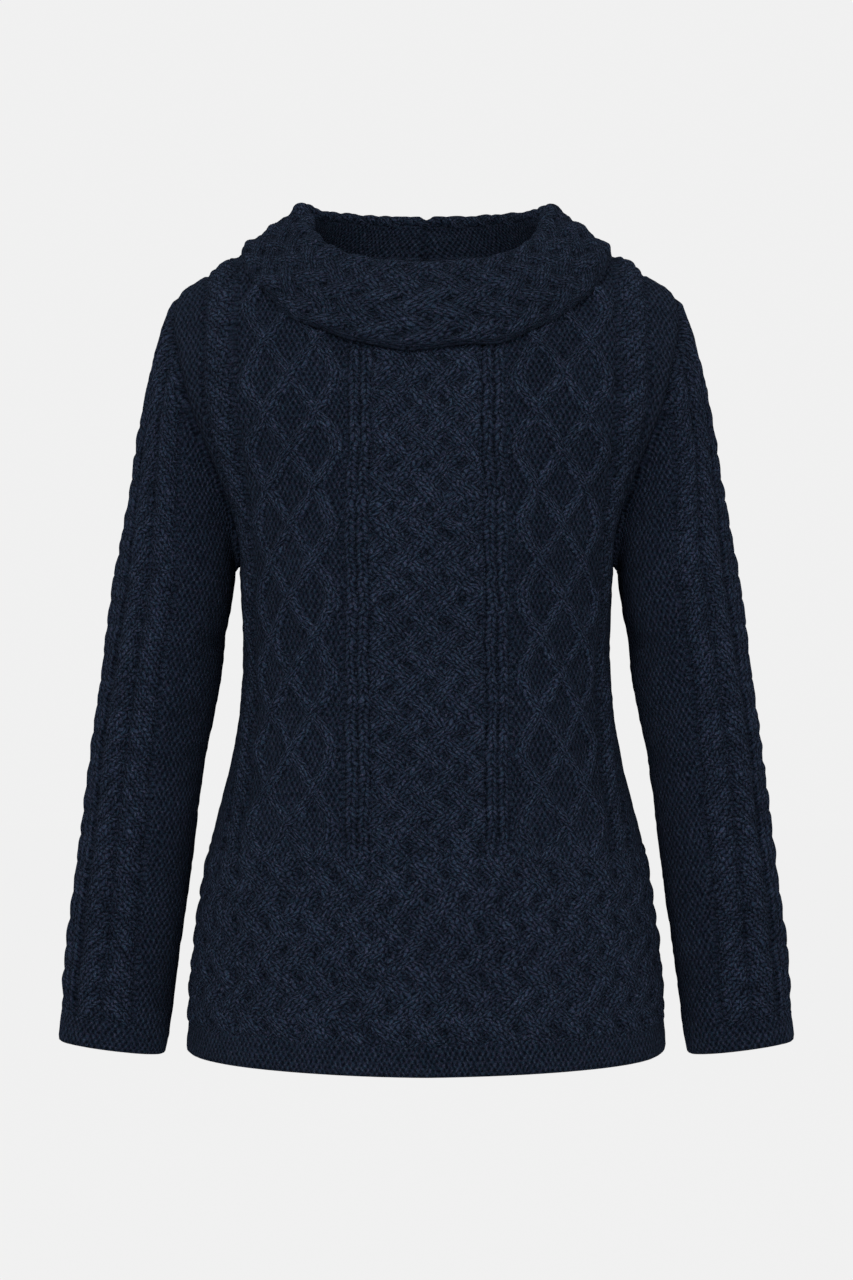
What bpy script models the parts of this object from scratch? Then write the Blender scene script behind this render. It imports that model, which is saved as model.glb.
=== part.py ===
"""An aran sweater with a wide turned-down collar, as five knitted walls.

The garment is worn by nobody and keeps its hollow, filled-out form. Its front faces -Y and +Z is up.
The origin is on the wearer's shoulders: the middle of the neck, level with the high point of the shoulder.
Each piece is a wall with a plain inside. Its cables, ribs and lattice are raised in its outer points.

A point of a piece is named by two lengths along the cloth, in millimetres:
    u - across the piece, from its middle line
    v - up the piece, from its lower edge
Tables and sizes are in millimetres. Meshes are in metres.
"""

import math
from collections import namedtuple
from functools import lru_cache

import bpy
import numpy as np
from mathutils import Vector
from mathutils.geometry import delaunay_2d_cdt

MM = 0.001

# ---------------------------------------------------------------- cloth
WALL = 3.0  # thickness of the plain cloth
SEAM_GAP = 0.3  # between two pieces along a seam
SEAM_STEP = 13.0  # spacing of the points along an edge
EDGE_MARGIN = 7.5  # raised points stay this far inside an edge
POINT_GAP = 3.2  # and this far apart
PLAIN_STEP = 27.0  # spacing of points where the cloth is plain
SHOULDER_STEP = 11.0  # and where it turns over the shoulder
SHOULDER_TURN = 46.0  # how far below the shoulder seam it turns
INNER_STEP = 33.0  # spacing of the points of a panel's inside
INNER_SHOULDER_STEP = 13.0
NET_STEP = 11.0  # of the close net that plain points are picked from
EDGE_SHARE = 0.62  # plain points keep this share of their step from an edge
NEAR_SHARE = 0.72  # and this share of it from each other
CAP_STEP = 15.0  # spacing of a sleeve's plain points near its head
SLEEVE_STEP = 21.0  # and along the arm, outside and
SLEEVE_INNER_STEP = 25.0  # inside
CAP_TURN = 40.0  # how far below the armhole the head turns
UNDERARM_STEP = 21.0  # along the sleeve's own seam

# ---------------------------------------------------------------- torso
HEM_Z = -634.0
ARMPIT_Z = -245.0
ARMPIT_V = ARMPIT_Z - HEM_Z
NECK_POINT_X = 118.0
EDGE_ROUND = 2.3  # power of the rounded oval that each level of the torso is
SPREAD = 0.955  # at the shoulder a column of stitches lies at SPREAD * u
SPREAD_HEIGHT = 145.0  # height over which the columns spread above the armpit
CHEST_FRONT = 117.0
CHEST_BACK = 110.0
FRONT_SLOPE = 2.2  # power of the side profile from the chest to the shoulder
BACK_SLOPE = 2.8

Level = namedtuple("Level", "z half_width front back")
TORSO = [
    Level(-634, 190.0, 128, 122),
    Level(-600, 187.5, 127, 122),
    Level(-546, 183.0, 126, 120),
    Level(-469, 172.0, 122, 115),
    Level(-392, 154.0, 117, 108),
    Level(-354, 148.0, 115, 104),
    Level(-315, 146.0, 114, 103),
    Level(-258, 148.0, 117, 108),
    Level(-245, 149.0, 117, 110),
    Level(-224, 152.0, 117, 110),
    Level(-191, 169.0, 117, 110),
    Level(-150, 190.0, 117, 110),
    Level(-116, 206.0, 117, 110),
    Level(-86, 213.0, 117, 110),
    Level(40, 215.0, 117, 110),
]

Ridge = namedtuple("Ridge", "x z")
SHOULDER = [
    Ridge(0, 22.0),
    Ridge(60, 18.5),
    Ridge(100, 14.5),
    Ridge(118, 12.0),
    Ridge(130, 9.8),
    Ridge(141, 7.2),
    Ridge(154, 3.0),
    Ridge(162, -2.6),
    Ridge(171, -9.0),
    Ridge(182, -15.4),
    Ridge(193, -21.8),
    Ridge(199, -28.0),
    Ridge(212, -46.0),
    Ridge(230, -80.0),
]

Armhole = namedtuple("Armhole", "z u")
ARMHOLE = [  # from the shoulder point down to the armpit; the last row is the side seam
    Armhole(-28, 208.0),
    Armhole(-50, 210.5),
    Armhole(-86, 203.0),
    Armhole(-116, 197.0),
    Armhole(-150, 192.5),
    Armhole(-191, 190.5),
    Armhole(-220, 190.5),
    Armhole(-236, 194.0),
    Armhole(-243.5, 202.0),
    Armhole(-245, 209.0),
]
ARMHOLE_STEPS = 24
ARMHOLE_CROWD = 0.10  # how much closer the steps are near the armpit

NECK_POWER = 2.4
NECK_FRONT_Z = -57.0
NECK_BACK_Z = 5.0
NECK_STEPS = 15  # from the neck point to the middle, front and back alike

# Soft folds of the torso: (side, u, v) is the middle, lean tilts it, depth is inwards.
Fold = namedtuple("Fold", "side u v length width lean depth")
TORSO_FOLDS = [
    Fold("front", 168, 318, 120, 26, 0.55, 4.5),
    Fold("front", -166, 300, 135, 28, -0.60, 4.0),
    Fold("front", 150, 232, 110, 30, -0.45, 3.5),
    Fold("front", -158, 212, 95, 26, 0.50, 3.8),
    Fold("front", 92, 470, 120, 30, -0.30, 3.0),
    Fold("front", -96, 455, 105, 32, 0.35, 3.0),
    Fold("back", 150, 300, 140, 30, 0.60, 5.0),
    Fold("back", -146, 286, 120, 28, -0.55, 4.4),
    Fold("back", 70, 236, 130, 34, -0.30, 4.0),
    Fold("back", -82, 222, 110, 30, 0.35, 4.6),
    Fold("back", 20, 320, 120, 30, 0.10, 3.4),
]

# ---------------------------------------------------------------- sleeves
Ring = namedtuple("Ring", "z x half_width half_depth y")
SLEEVE = [  # level rings of the +X sleeve, from the armpit to the cuff
    Ring(-252, 200.3, 46.6, 50.5, 0),
    Ring(-334, 213.6, 46.0, 48.0, -2),
    Ring(-411, 225.6, 45.3, 44.5, -5),
    Ring(-488, 236.0, 44.6, 40.5, -8),
    Ring(-565, 245.6, 43.9, 37.0, -11),
    Ring(-608, 250.4, 43.0, 34.5, -13),
    Ring(-627, 252.3, 41.5, 33.5, -14),
]
CAP_START = 0.4  # how far the sleeve head runs on from the body, and
CAP_END = 0.68  # how far it comes down along the arm, as shares of its length
CAP_BULGE = 0.30
TWIST = math.radians(26.0)  # the sleeve hangs turned forward by this
UNDERARM_TURN = math.radians(88.0)

SleeveFold = namedtuple("SleeveFold", "turn v length width lean depth")
SLEEVE_FOLDS = [  # turn is the angle round the sleeve from its outer line, towards the front
    SleeveFold(110, 268, 60, 22, 0.30, 3.6),
    SleeveFold(150, 236, 70, 20, 0.40, 4.2),
    SleeveFold(75, 218, 55, 22, -0.30, 3.0),
    SleeveFold(-120, 262, 75, 22, -0.35, 4.2),
    SleeveFold(-80, 226, 60, 24, 0.30, 3.4),
    SleeveFold(128, 330, 60, 20, 0.55, 4.0),
    SleeveFold(-135, 335, 66, 20, -0.50, 4.4),
    SleeveFold(60, 96, 50, 18, 0.25, 2.6),
    SleeveFold(-95, 84, 60, 20, -0.25, 3.0),
]

# ---------------------------------------------------------------- collar
COLLAR_EDGE_X = 137.0  # where the free edge crosses the shoulder
COLLAR_EDGE_FRONT_Z = -79.0
COLLAR_EDGE_BACK_Z = -24.0
COLLAR_LIFT = 8.0  # the outer face of the free edge above the torso
COLLAR_BULGE = 4.5
FALL = 72.0  # depth of the turned-down part, along the cloth at the front
CREST = 22.0  # of the rolled fold
STAND = 46.0  # and of the stand inside it
COLLAR_ROWS = (  # v of its cross rows: up the fall, round the crest and down the stand
    0, 12, 24, 36, 48, 60, 72, 77.5, 83, 88.5, 94, 105.5, 117, 128.5, 140,
)
COLLAR_INNER_ROWS = (24, 48)
COLLAR_EDGE_STEPS = 52  # points round the free edge
COLLAR_OUTER_STEPS = 44  # and round each row inside
COLLAR_INNER_STEPS = 40
FOLD_RADIUS = 7.0
FOLD_X = 102.5
FOLD_FRONT_Y = -79.0
FOLD_BACK_Y = 68.0
FOLD_SIDE_Z = 38.5
FOLD_FRONT_Z = -17.5
FOLD_BACK_Z = 36.5
PLAN_POWER = 2.2

# ---------------------------------------------------------------- patterns
PERIOD = 28.4  # of the lattice, across
ROW = 17.0  # of the lattice in the middle, up; it crosses every second row
ROW_BELOW = 20.0  # of the lattice all over the lower part
LATTICE_TOP = 172.0  # v where the all-over lattice ends
PATTERN_GAP = 12.0  # from the end of one pattern to the next one's first points
PATTERN_TOP = 660.0  # above the highest shoulder
PANEL_HALF = 252.0  # beyond the side seams
HEM_BAND = 20.0
BAND_STEP = 13.0  # spacing of the points of the groove above a band
LATTICE_HALF = 1.5 * PERIOD
RIB_LINES = (48.6, 58.6)  # middle of each twisted rib
RIB_HALF = 5.0
DIAMOND_MIDDLE = 110.0
DIAMOND_REACH = 36.0
DIAMOND_PERIOD = 232.0
DIAMOND_START = 421.0  # v where the first strand is furthest out
STRANDS = 4
STRAND_STEP = 21.0
STRAND_HALF = 5.5
ROPE_MIDDLE = 170.0
ROPE_HALF = 10.0
ROPE_PITCH = 22.0
SLEEVE_RIBS = (-4.6, 4.6)
SLEEVE_ROPES = (24.0, 46.0)
SLEEVE_PITCH = 21.0
CUFF_BAND = 19.0
COLLAR_PERIODS = 24
COLLAR_ROW = 16.5
LUMP = 3.8  # height of a cable's crossing above the plain cloth
HOLE = -0.8
LEAN = 0.22  # how far a crossing leans, as a share of its period

Look = namedtuple("Look", "colour roughness")
NAVY = Look((0.0110, 0.0160, 0.0290, 1.0), 0.92)
NAVY_SLEEVE = Look((0.0100, 0.0148, 0.0268, 1.0), 0.92)
NAVY_COLLAR = Look((0.0124, 0.0180, 0.0325, 1.0), 0.92)


# ---------------------------------------------------------------- helpers
def curve(xs, ys):
    """A smooth function through (x, y) pairs that never swings past them."""
    xs = np.asarray(xs, float)
    ys = np.asarray(ys, float)
    order = np.argsort(xs)
    xs, ys = xs[order], ys[order]
    step = np.diff(xs)
    rise = np.diff(ys) / step
    slope = np.concatenate([rise[:1], np.zeros(len(rise) - 1), rise[-1:]])
    for i in range(1, len(rise)):
        if rise[i - 1] * rise[i] > 0:
            near, far = 2 * step[i] + step[i - 1], step[i] + 2 * step[i - 1]
            slope[i] = (near + far) / (near / rise[i - 1] + far / rise[i])

    def at(x):
        x = np.clip(x, xs[0], xs[-1])
        i = np.clip(np.searchsorted(xs, x) - 1, 0, len(rise) - 1)
        t = (x - xs[i]) / step[i]
        start = (1 + 2 * t) * (1 - t) ** 2 * ys[i] + t * (1 - t) ** 2 * step[i] * slope[i]
        end = t * t * (3 - 2 * t) * ys[i + 1] + t * t * (t - 1) * step[i] * slope[i + 1]
        return start + end

    return at


def ease(t):
    """0 to 1, level at both ends."""
    t = np.clip(t, 0.0, 1.0)
    return t * t * (3 - 2 * t)


def oval(share, power):
    """The other half-axis share of a rounded oval at this share of one half-axis."""
    return max(0.0, 1.0 - min(1.0, abs(share)) ** power) ** (1.0 / power)


def unit(vector):
    return vector / max(1e-9, float(np.linalg.norm(vector)))


def hermite(start, start_way, end, end_way, t):
    """A point at t on the curve that leaves start along start_way and reaches end along end_way."""
    return (
        (2 * t**3 - 3 * t**2 + 1) * start
        + (t**3 - 2 * t**2 + t) * start_way
        + (3 * t**2 - 2 * t**3) * end
        + (t**3 - t**2) * end_way
    )


def trough(across, along, width, length):
    """A soft dent: 1 in its middle, 0 past its width and length."""
    reach = (across / width) ** 2 + (along / (0.5 * length)) ** 2
    return math.exp(-1.6 * reach)


# ---------------------------------------------------------------- torso form
half_width_at = curve([r.z for r in TORSO], [r.half_width for r in TORSO])
front_at = curve([r.z for r in TORSO], [r.front for r in TORSO])
back_at = curve([r.z for r in TORSO], [r.back for r in TORSO])
ridge_at = curve([r.x for r in SHOULDER], [r.z for r in SHOULDER])


def depth_at(side, z):
    return float(front_at(z) if side == "front" else back_at(z))


@lru_cache(maxsize=None)
def slice_of(side, z):
    """A level oval of the torso: length along it from the middle, with x and depth there."""
    turn = np.linspace(0, math.pi / 2, 241)
    x = float(half_width_at(z)) * np.sin(turn) ** (2 / EDGE_ROUND)
    y = depth_at(side, z) * np.cos(turn) ** (2 / EDGE_ROUND)
    length = np.concatenate([[0], np.cumsum(np.hypot(np.diff(x), np.diff(y)))])
    return length, x, y


def side_seam_u(side, z):
    return float(slice_of(side, z)[0][-1])


@lru_cache(maxsize=None)
def column(side, u):
    """The cloth's column at a whole u: v, x, depth and z along it, from the hem to the shoulder."""
    low = np.linspace(HEM_Z, ARMPIT_Z, 40)
    rows = []
    for z in low:
        length, x, y = slice_of(side, float(z))
        rows.append((z - HEM_Z, np.interp(u, length, x), np.interp(u, length, y), z))
    armpit_x, armpit_y = rows[-1][1], rows[-1][2] / depth_at(side, ARMPIT_Z)
    slope = FRONT_SLOPE if side == "front" else BACK_SLOPE
    chest = CHEST_FRONT if side == "front" else CHEST_BACK
    top = float(ridge_at(SPREAD * u))
    for k in range(1, 61):
        z = ARMPIT_Z + (top - ARMPIT_Z) * math.sin(math.pi / 2 * k / 60)
        spread = float(ease((z - ARMPIT_Z) / SPREAD_HEIGHT))
        x = armpit_x + (SPREAD * u - armpit_x) * spread
        across = armpit_y + (oval(x / float(half_width_at(z)), EDGE_ROUND) - armpit_y) * spread
        share = (z - ARMPIT_Z) / (float(ridge_at(x)) - ARMPIT_Z)
        y = chest * across * oval(share, slope) if k < 60 else 0.0
        last = rows[-1]
        v = last[0] + math.dist((x, y, z), last[1:])
        rows.append((v, x, y, z))
    return np.array(rows).T


def columns_beside(side, u):
    """The two whole columns beside u, each with its weight."""
    low = int(abs(u))
    part = abs(u) - low
    return ((column(side, low), 1 - part), (column(side, low + 1), part))


def shoulder_v(side, u):
    return float(sum(rows[0][-1] * weight for rows, weight in columns_beside(side, u)))


def torso_bare(side, u, v):
    """A point of the torso's form without its folds."""
    share = (v - ARMPIT_V) / (shoulder_v(side, u) - ARMPIT_V)
    at = np.zeros(3)
    for rows, weight in columns_beside(side, u):
        along = v if share <= 0 else ARMPIT_V + min(1.0, share) * (rows[0][-1] - ARMPIT_V)
        at += weight * np.array([np.interp(along, rows[0], rows[i]) for i in (1, 2, 3)])
    way = -1 if side == "front" else 1
    return np.array([math.copysign(at[0], u), way * (at[1] + SEAM_GAP / 2), at[2]])


def torso_dent(side, u, v):
    """How far the soft folds take the cloth inwards, fading at the seams."""
    dent = 0.0
    for fold in TORSO_FOLDS:
        if fold.side == side:
            along = v - fold.v
            dent += fold.depth * trough(u - fold.u - fold.lean * along, along, fold.width, fold.length)
    edge = side_seam_u(side, min(ARMPIT_Z, HEM_Z + v)) - abs(u)
    return dent * float(ease(edge / 30.0)) * float(ease(v / 60.0))


def torso_normal(side, u, v):
    """The way out of the cloth. It has no Y part on a seam, so that two walls meet face to face."""
    step = 1.5
    top = shoulder_v(side, u)
    across = torso_bare(side, u + step, min(v, top)) - torso_bare(side, u - step, min(v, top))
    up = torso_bare(side, u, min(v + step, top)) - torso_bare(side, u, min(v, top - 0.1) - step)
    out = np.cross(across, up) * (1 if side == "front" else -1)
    at = torso_bare(side, u, v)
    if abs(at[1]) < SEAM_GAP and v > top - 1.0:
        slope = float(ridge_at(abs(at[0]) + 1) - ridge_at(abs(at[0]) - 1)) / 2
        out = np.array([-slope * math.copysign(1, u), 0.0, 1.0])
    elif abs(at[1]) < SEAM_GAP:
        out = np.array([math.copysign(1.0, u), 0.0, 0.0])
    return unit(out)


def torso_place(side, u, v):
    """A point of the plain outer face, and the way out of it."""
    out = torso_normal(side, u, v)
    return torso_bare(side, u, v) - out * torso_dent(side, u, v), out


# ---------------------------------------------------------------- torso edges
def v_of_z(side, u, z):
    """v at a height, on the column at u."""
    share = 0.0
    for rows, weight in columns_beside(side, u):
        share += weight * (np.interp(z, rows[3], rows[0]) - ARMPIT_V) / (rows[0][-1] - ARMPIT_V)
    return float(ARMPIT_V + share * (shoulder_v(side, u) - ARMPIT_V))


@lru_cache(maxsize=None)
def armhole_line(side):
    """(u, v) along the armhole, from the shoulder point to the armpit, for u > 0."""
    us = [row.u for row in ARMHOLE[:-1]] + [side_seam_u(side, ARMPIT_Z)]
    vs = [v_of_z(side, u, row.z) for u, row in zip(us, ARMHOLE)]
    vs[0] = shoulder_v(side, us[0])
    runs = np.concatenate([[0], np.cumsum(np.hypot(np.diff(us), np.diff(vs)))])
    u_at, v_at = curve(runs, us), curve(runs, vs)
    line = []
    for k in range(ARMHOLE_STEPS + 1):
        share = k / ARMHOLE_STEPS
        run = runs[-1] * (share + ARMHOLE_CROWD * math.sin(math.pi * share) * share)
        line.append((float(u_at(run)), float(v_at(run))))
    return line


@lru_cache(maxsize=None)
def neck_line(side):
    """(u, v) along the neckline, from the neck point to the middle, for u > 0."""
    middle_z = NECK_FRONT_Z if side == "front" else NECK_BACK_Z
    point_z = float(ridge_at(NECK_POINT_X))
    line = []
    for k in range(NECK_STEPS + 1):
        turn = math.pi / 2 * (1 - k / NECK_STEPS)
        u = NECK_POINT_X / SPREAD * math.sin(turn) ** (2 / NECK_POWER)
        z = point_z + (middle_z - point_z) * math.cos(turn) ** (2 / NECK_POWER)
        line.append((u, shoulder_v(side, u) if k == 0 else v_of_z(side, u, z)))
    return line


def mirror(line):
    return [(-u, v) for u, v in reversed(line)]


def torso_outline(side):
    """The flat outline of a panel, anticlockwise from the middle of the hem."""
    side_v = np.linspace(0, ARMPIT_Z - HEM_Z, round((ARMPIT_Z - HEM_Z) / SEAM_STEP) + 1)
    seam = [(side_seam_u(side, HEM_Z + float(v)), float(v)) for v in side_v]
    hem_count = round(seam[0][0] / SEAM_STEP)
    hem = [(seam[0][0] * k / hem_count, 0.0) for k in range(hem_count)]
    arm = list(reversed(armhole_line(side)))
    neck = neck_line(side)
    tip, point = arm[-1][0], neck[0][0]
    count = round((tip - point) / SEAM_STEP)
    top = [tip + (point - tip) * k / count for k in range(1, count)]
    shoulder = [(u, shoulder_v(side, u)) for u in top]
    right = hem + seam[:-1] + arm + shoulder + neck
    return right + mirror(right[1:-1])


def inside_by(outline, points):
    """How far inside an outline each point lies; negative outside it."""
    a = np.array(outline)
    b = np.roll(a, -1, axis=0)
    way = b - a
    u, v = np.array(points, float)[:, :2].T[:, :, None]
    share = ((u - a[:, 0]) * way[:, 0] + (v - a[:, 1]) * way[:, 1]) / (way**2).sum(1)
    share = share.clip(0, 1)
    near = np.hypot(a[:, 0] + share * way[:, 0] - u, a[:, 1] + share * way[:, 1] - v).min(1)
    crosses = (a[:, 1] > v) != (b[:, 1] > v)
    rise = np.where(crosses, way[:, 1], 1.0)
    inside = (crosses & (u < a[:, 0] + (v - a[:, 1]) / rise * way[:, 0])).sum(1) % 2
    return np.where(inside == 1, near, -near)


# ---------------------------------------------------------------- raised patterns
class Pattern:
    """Points of a raised pattern, (u, v, height), and the ridge lines between them."""

    def __init__(self):
        self.points = []
        self.ridges = []

    def line(self, points, joined=True):
        start = len(self.points)
        self.points += points
        if joined:
            self.ridges += [(start + k, start + k + 1) for k in range(len(points) - 1)]


def add_lattice(pattern, low, high, left, right, row):
    """Bands that pass over and under each other: a leaning lump at each crossing, a hole between."""
    for j in range(int((high - low) / row) + 1):
        v = low + j * row
        shift = 0.5 * (j % 2)
        way = 1 if j % 2 else -1
        for i in range(math.ceil(left / PERIOD - shift), math.floor(right / PERIOD - shift) + 1):
            u = (i + shift) * PERIOD
            reach = (LEAN * PERIOD * way, 0.40 * row)
            lump = [
                (u - reach[0], v - reach[1], 0.5 * LUMP),
                (u, v, LUMP),
                (u + reach[0], v + reach[1], 0.5 * LUMP),
            ]
            pattern.line(lump)
        first, last = math.ceil(left / PERIOD - shift - 0.5), math.floor(right / PERIOD - shift - 0.5)
        for i in range(first, last + 1):
            pattern.line([((i + shift + 0.5) * PERIOD, v, HOLE)])


def add_rib(pattern, middle, low, high, step=24.0):
    count = max(1, round((high - low) / step))
    vs = [low + (high - low) * k / count for k in range(count + 1)]
    pattern.line([(middle, v, 0.7 * LUMP) for v in vs])
    for way in (-1, 1):
        pattern.line([(middle + way * RIB_HALF, v, HOLE) for v in vs])


def add_rope(pattern, middle, low, high, pitch, half, way):
    """A twisted cable: each turn is a leaning lump, with a dip between two turns."""
    for k in range(int((high - low) / pitch)):
        v = low + (k + 0.5) * pitch
        lump = [(middle - way * 0.45 * half, v - 0.26 * pitch, 0.9 * LUMP)]
        lump.append((middle + way * 0.45 * half, v + 0.26 * pitch, 0.9 * LUMP))
        pattern.line(lump)
        pattern.line([(middle, v - 0.5 * pitch, 0.0)])
        pattern.line([(middle - half, v, HOLE), (middle + half, v, HOLE)], joined=False)


def strand_u(v, strand):
    """How far out a strand of the trellis is at v: a zigzag with rounded turns."""
    turn = 2 * math.pi * ((v - DIAMOND_START) / DIAMOND_PERIOD + strand / STRANDS)
    return DIAMOND_MIDDLE + DIAMOND_REACH * math.asin(0.96 * math.cos(turn)) / math.asin(0.96)


def add_strand(pattern, way, strand, low, high):
    count = round((high - low) / STRAND_STEP)
    vs = [low + (high - low) * k / count for k in range(count + 1)]
    pattern.line([(way * strand_u(v, strand), v, 0.85 * LUMP) for v in vs])
    for foot in (-STRAND_HALF, STRAND_HALF):
        pattern.line([(way * strand_u(v, strand) + foot, v, 0.0) for v in vs], joined=False)


def torso_pattern():
    pattern = Pattern()
    low = LATTICE_TOP + PATTERN_GAP
    for way in (-1, 1):
        for strand in range(STRANDS):
            add_strand(pattern, way, strand, low, PATTERN_TOP)
        for middle in RIB_LINES:
            add_rib(pattern, way * middle, low, PATTERN_TOP)
        add_rope(pattern, way * ROPE_MIDDLE, low, PATTERN_TOP, ROPE_PITCH, ROPE_HALF, way)
    inner = LATTICE_HALF - 3.0
    add_lattice(pattern, low, PATTERN_TOP, -inner, inner, ROW)
    add_lattice(pattern, HEM_BAND + PATTERN_GAP, LATTICE_TOP - 6.0, -PANEL_HALF, PANEL_HALF, ROW_BELOW)
    reach = int(PANEL_HALF / BAND_STEP)
    pattern.line([(BAND_STEP * k, HEM_BAND, HOLE) for k in range(-reach, reach + 1)], joined=False)
    return pattern


def sleeve_pattern(top):
    pattern = Pattern()
    low = CUFF_BAND + 6
    for middle in SLEEVE_RIBS:
        add_rib(pattern, middle, low, top)
    for way in (-1, 1):
        for k, middle in enumerate(SLEEVE_ROPES):
            lean = way * (1 if k == 0 else -1)
            add_rope(pattern, way * middle, low, top, SLEEVE_PITCH, ROPE_HALF, lean)
    reach = int(half_round_at(CUFF_BAND) / BAND_STEP)
    pattern.line([(BAND_STEP * k, CUFF_BAND, HOLE) for k in range(-reach, reach + 1)], joined=False)
    return pattern


# ---------------------------------------------------------------- walls
def kept_points(outline, pattern, margin):
    """The pattern's points that lie well inside the outline and apart from each other."""
    kept, index = [], {}
    depths = inside_by(outline, pattern.points)
    for k, (u, v, height) in enumerate(pattern.points):
        if depths[k] < margin:
            continue
        if any(abs(u - p[0]) < POINT_GAP and abs(v - p[1]) < POINT_GAP for p in kept):
            continue
        index[k] = len(kept)
        kept.append((u, v, height))
    ridges = [(index[a], index[b]) for a, b in pattern.ridges if a in index and b in index]
    return kept, ridges


def plain_points(outline, taken, step_at):
    """Points on plain cloth, step_at(u, v) apart, away from edges and from those already taken."""
    (low_u, low_v), (high_u, high_v) = (pick(outline, axis=0) for pick in (np.min, np.max))
    net = []
    for j in range(int((high_v - low_v) / NET_STEP) + 1):
        for i in range(int((high_u - low_u) / NET_STEP) + 1):
            net.append((low_u + (i + 0.5 * (j % 2)) * NET_STEP, low_v + (j + 0.5) * NET_STEP))
    made = []
    taken = np.array([p[:2] for p in taken] or [(1e6, 1e6)])
    for (u, v), depth in zip(net, inside_by(outline, net)):
        if depth <= 0:
            continue
        step = step_at(u, v)
        near = np.hypot(taken[:, 0] - u, taken[:, 1] - v).min()
        if depth < EDGE_SHARE * step or near < NEAR_SHARE * step:
            continue
        taken = np.vstack([taken, (u, v)])
        made.append((u, v, 0.0))
    return made


def triangles(outline, inside, ridges):
    """Delaunay triangles of a flat outline: corners as (u, v, height) and triples of them."""
    count = len(outline)
    corners = [(u, v, 0.0) for u, v in outline] + inside
    edges = [(a + count, b + count) for a, b in ridges]
    flat = [Vector((u, v)) for u, v, _ in corners]
    spots, _, faces, origins, _, _ = delaunay_2d_cdt(flat, edges, [list(range(count))], 1, 1e-4)
    made = []
    for spot, origin in zip(spots, origins):
        if origin:
            made.append(corners[origin[0]])
        else:  # two ridges cross here
            made.append((spot.x, spot.y, LUMP))
    edge_of = {origin[0]: k for k, origin in enumerate(origins) if origin and origin[0] < count}
    return made, [tuple(f) for f in faces], [edge_of[k] for k in range(count)]


def wall(name, outline, outer, inner, place, look, thickness=WALL, joined=(), flip=False):
    """One piece of cloth: a raised outer face, a plain inner face and rims between them.

    outer and inner are (points, ridges). place gives a point of the outer face and the way out of it.
    joined pairs the outline's points that meet in a seam of the piece itself, as on a tube.
    """
    same = dict(joined)
    vertices, faces, edges = [], [], []
    for (points, ridges), is_outer in ((outer, True), (inner, False)):
        corners, tris, edge = triangles(outline, points, ridges)
        spot = {}
        back = {edge[a]: edge[b] for a, b in same.items()}
        for k, (u, v, height) in enumerate(corners):
            if k in back:
                continue
            at, out = place(u, v)
            move = height if is_outer else -thickness
            spot[k] = len(vertices)
            vertices.append(tuple((at + out * move) * MM))
        for a, b in back.items():
            spot[a] = spot[b]
        for face in tris:
            ring = [spot[k] for k in face]
            if is_outer == flip:
                ring.reverse()
            if len(set(ring)) == 3:
                faces.append(ring)
        edges.append([spot[k] for k in edge])
    count = len(outline)
    for k in range(count):
        a, b = k, (k + 1) % count
        if a in same and b in same or (a in same.values() and b in same.values()):
            continue
        quad = [edges[0][b], edges[0][a], edges[1][a], edges[1][b]]
        if flip:
            quad.reverse()
        faces += [quad[:3], [quad[0], quad[2], quad[3]]]
    mesh = bpy.data.meshes.new(name)
    mesh.from_pydata(vertices, [], faces)
    mesh.validate()
    mesh.shade_smooth()
    mesh.set_sharp_from_angle(angle=math.radians(60))
    return place_object(name, mesh, look)


def place_object(name, mesh, look):
    piece = bpy.data.objects.new(name, mesh)
    material = bpy.data.materials.new(name)
    material.use_nodes = True
    shader = material.node_tree.nodes["Principled BSDF"]
    shader.inputs["Base Color"].default_value = look.colour
    shader.inputs["Roughness"].default_value = look.roughness
    shader.inputs["Metallic"].default_value = 0.0
    mesh.materials.append(material)
    collection().objects.link(piece)
    return piece


def collection():
    name = "aran_sweater"
    if name not in bpy.data.collections:
        made = bpy.data.collections.new(name)
        bpy.context.scene.collection.children.link(made)
    return bpy.data.collections[name]


# ---------------------------------------------------------------- panels
def build_panel(side):
    outline = torso_outline(side)
    tip_u = armhole_line(side)[0][0]

    def is_turning(u, v):
        return v > shoulder_v(side, min(abs(u), tip_u)) - SHOULDER_TURN

    def step_at(u, v):
        return SHOULDER_STEP if is_turning(u, v) else PLAIN_STEP

    def inner_step(u, v):
        return INNER_SHOULDER_STEP if is_turning(u, v) else INNER_STEP

    raised, ridges = kept_points(outline, torso_pattern(), EDGE_MARGIN)
    outer = raised + plain_points(outline, raised, step_at)
    inner = plain_points(outline, [], inner_step)
    return wall(
        side, outline, (outer, ridges), (inner, []), lambda u, v: torso_place(side, u, v), NAVY,
        flip=side == "back",
    )


# ---------------------------------------------------------------- sleeve form
sleeve_table = {
    field: curve([r.z for r in SLEEVE], [getattr(r, field) for r in SLEEVE])
    for field in ("x", "half_width", "half_depth", "y")
}
RING_TOP = SLEEVE[0].z
RING_LOW = SLEEVE[-1].z
SLEEVE_LENGTH = sum(
    math.dist((a.x, a.y, a.z), (b.x, b.y, b.z)) for a, b in zip(SLEEVE, SLEEVE[1:])
)


def ring_point(turn, v):
    """A point of the sleeve's tube: turn is the angle from the outer line towards the front."""
    z = RING_LOW + (RING_TOP - RING_LOW) * v / SLEEVE_LENGTH
    x, y, wide, deep = (float(sleeve_table[f](z)) for f in ("x", "y", "half_width", "half_depth"))
    ahead = np.array([float(sleeve_table["x"](z - 8)) - float(sleeve_table["x"](z + 8)), 0.0, -16.0])
    along = unit(ahead)
    outward = np.array([-along[2], 0.0, along[0]])
    centre = np.array([x, y, z])
    return centre + outward * wide * math.cos(turn) - np.array([0, deep * math.sin(turn), 0])


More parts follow.
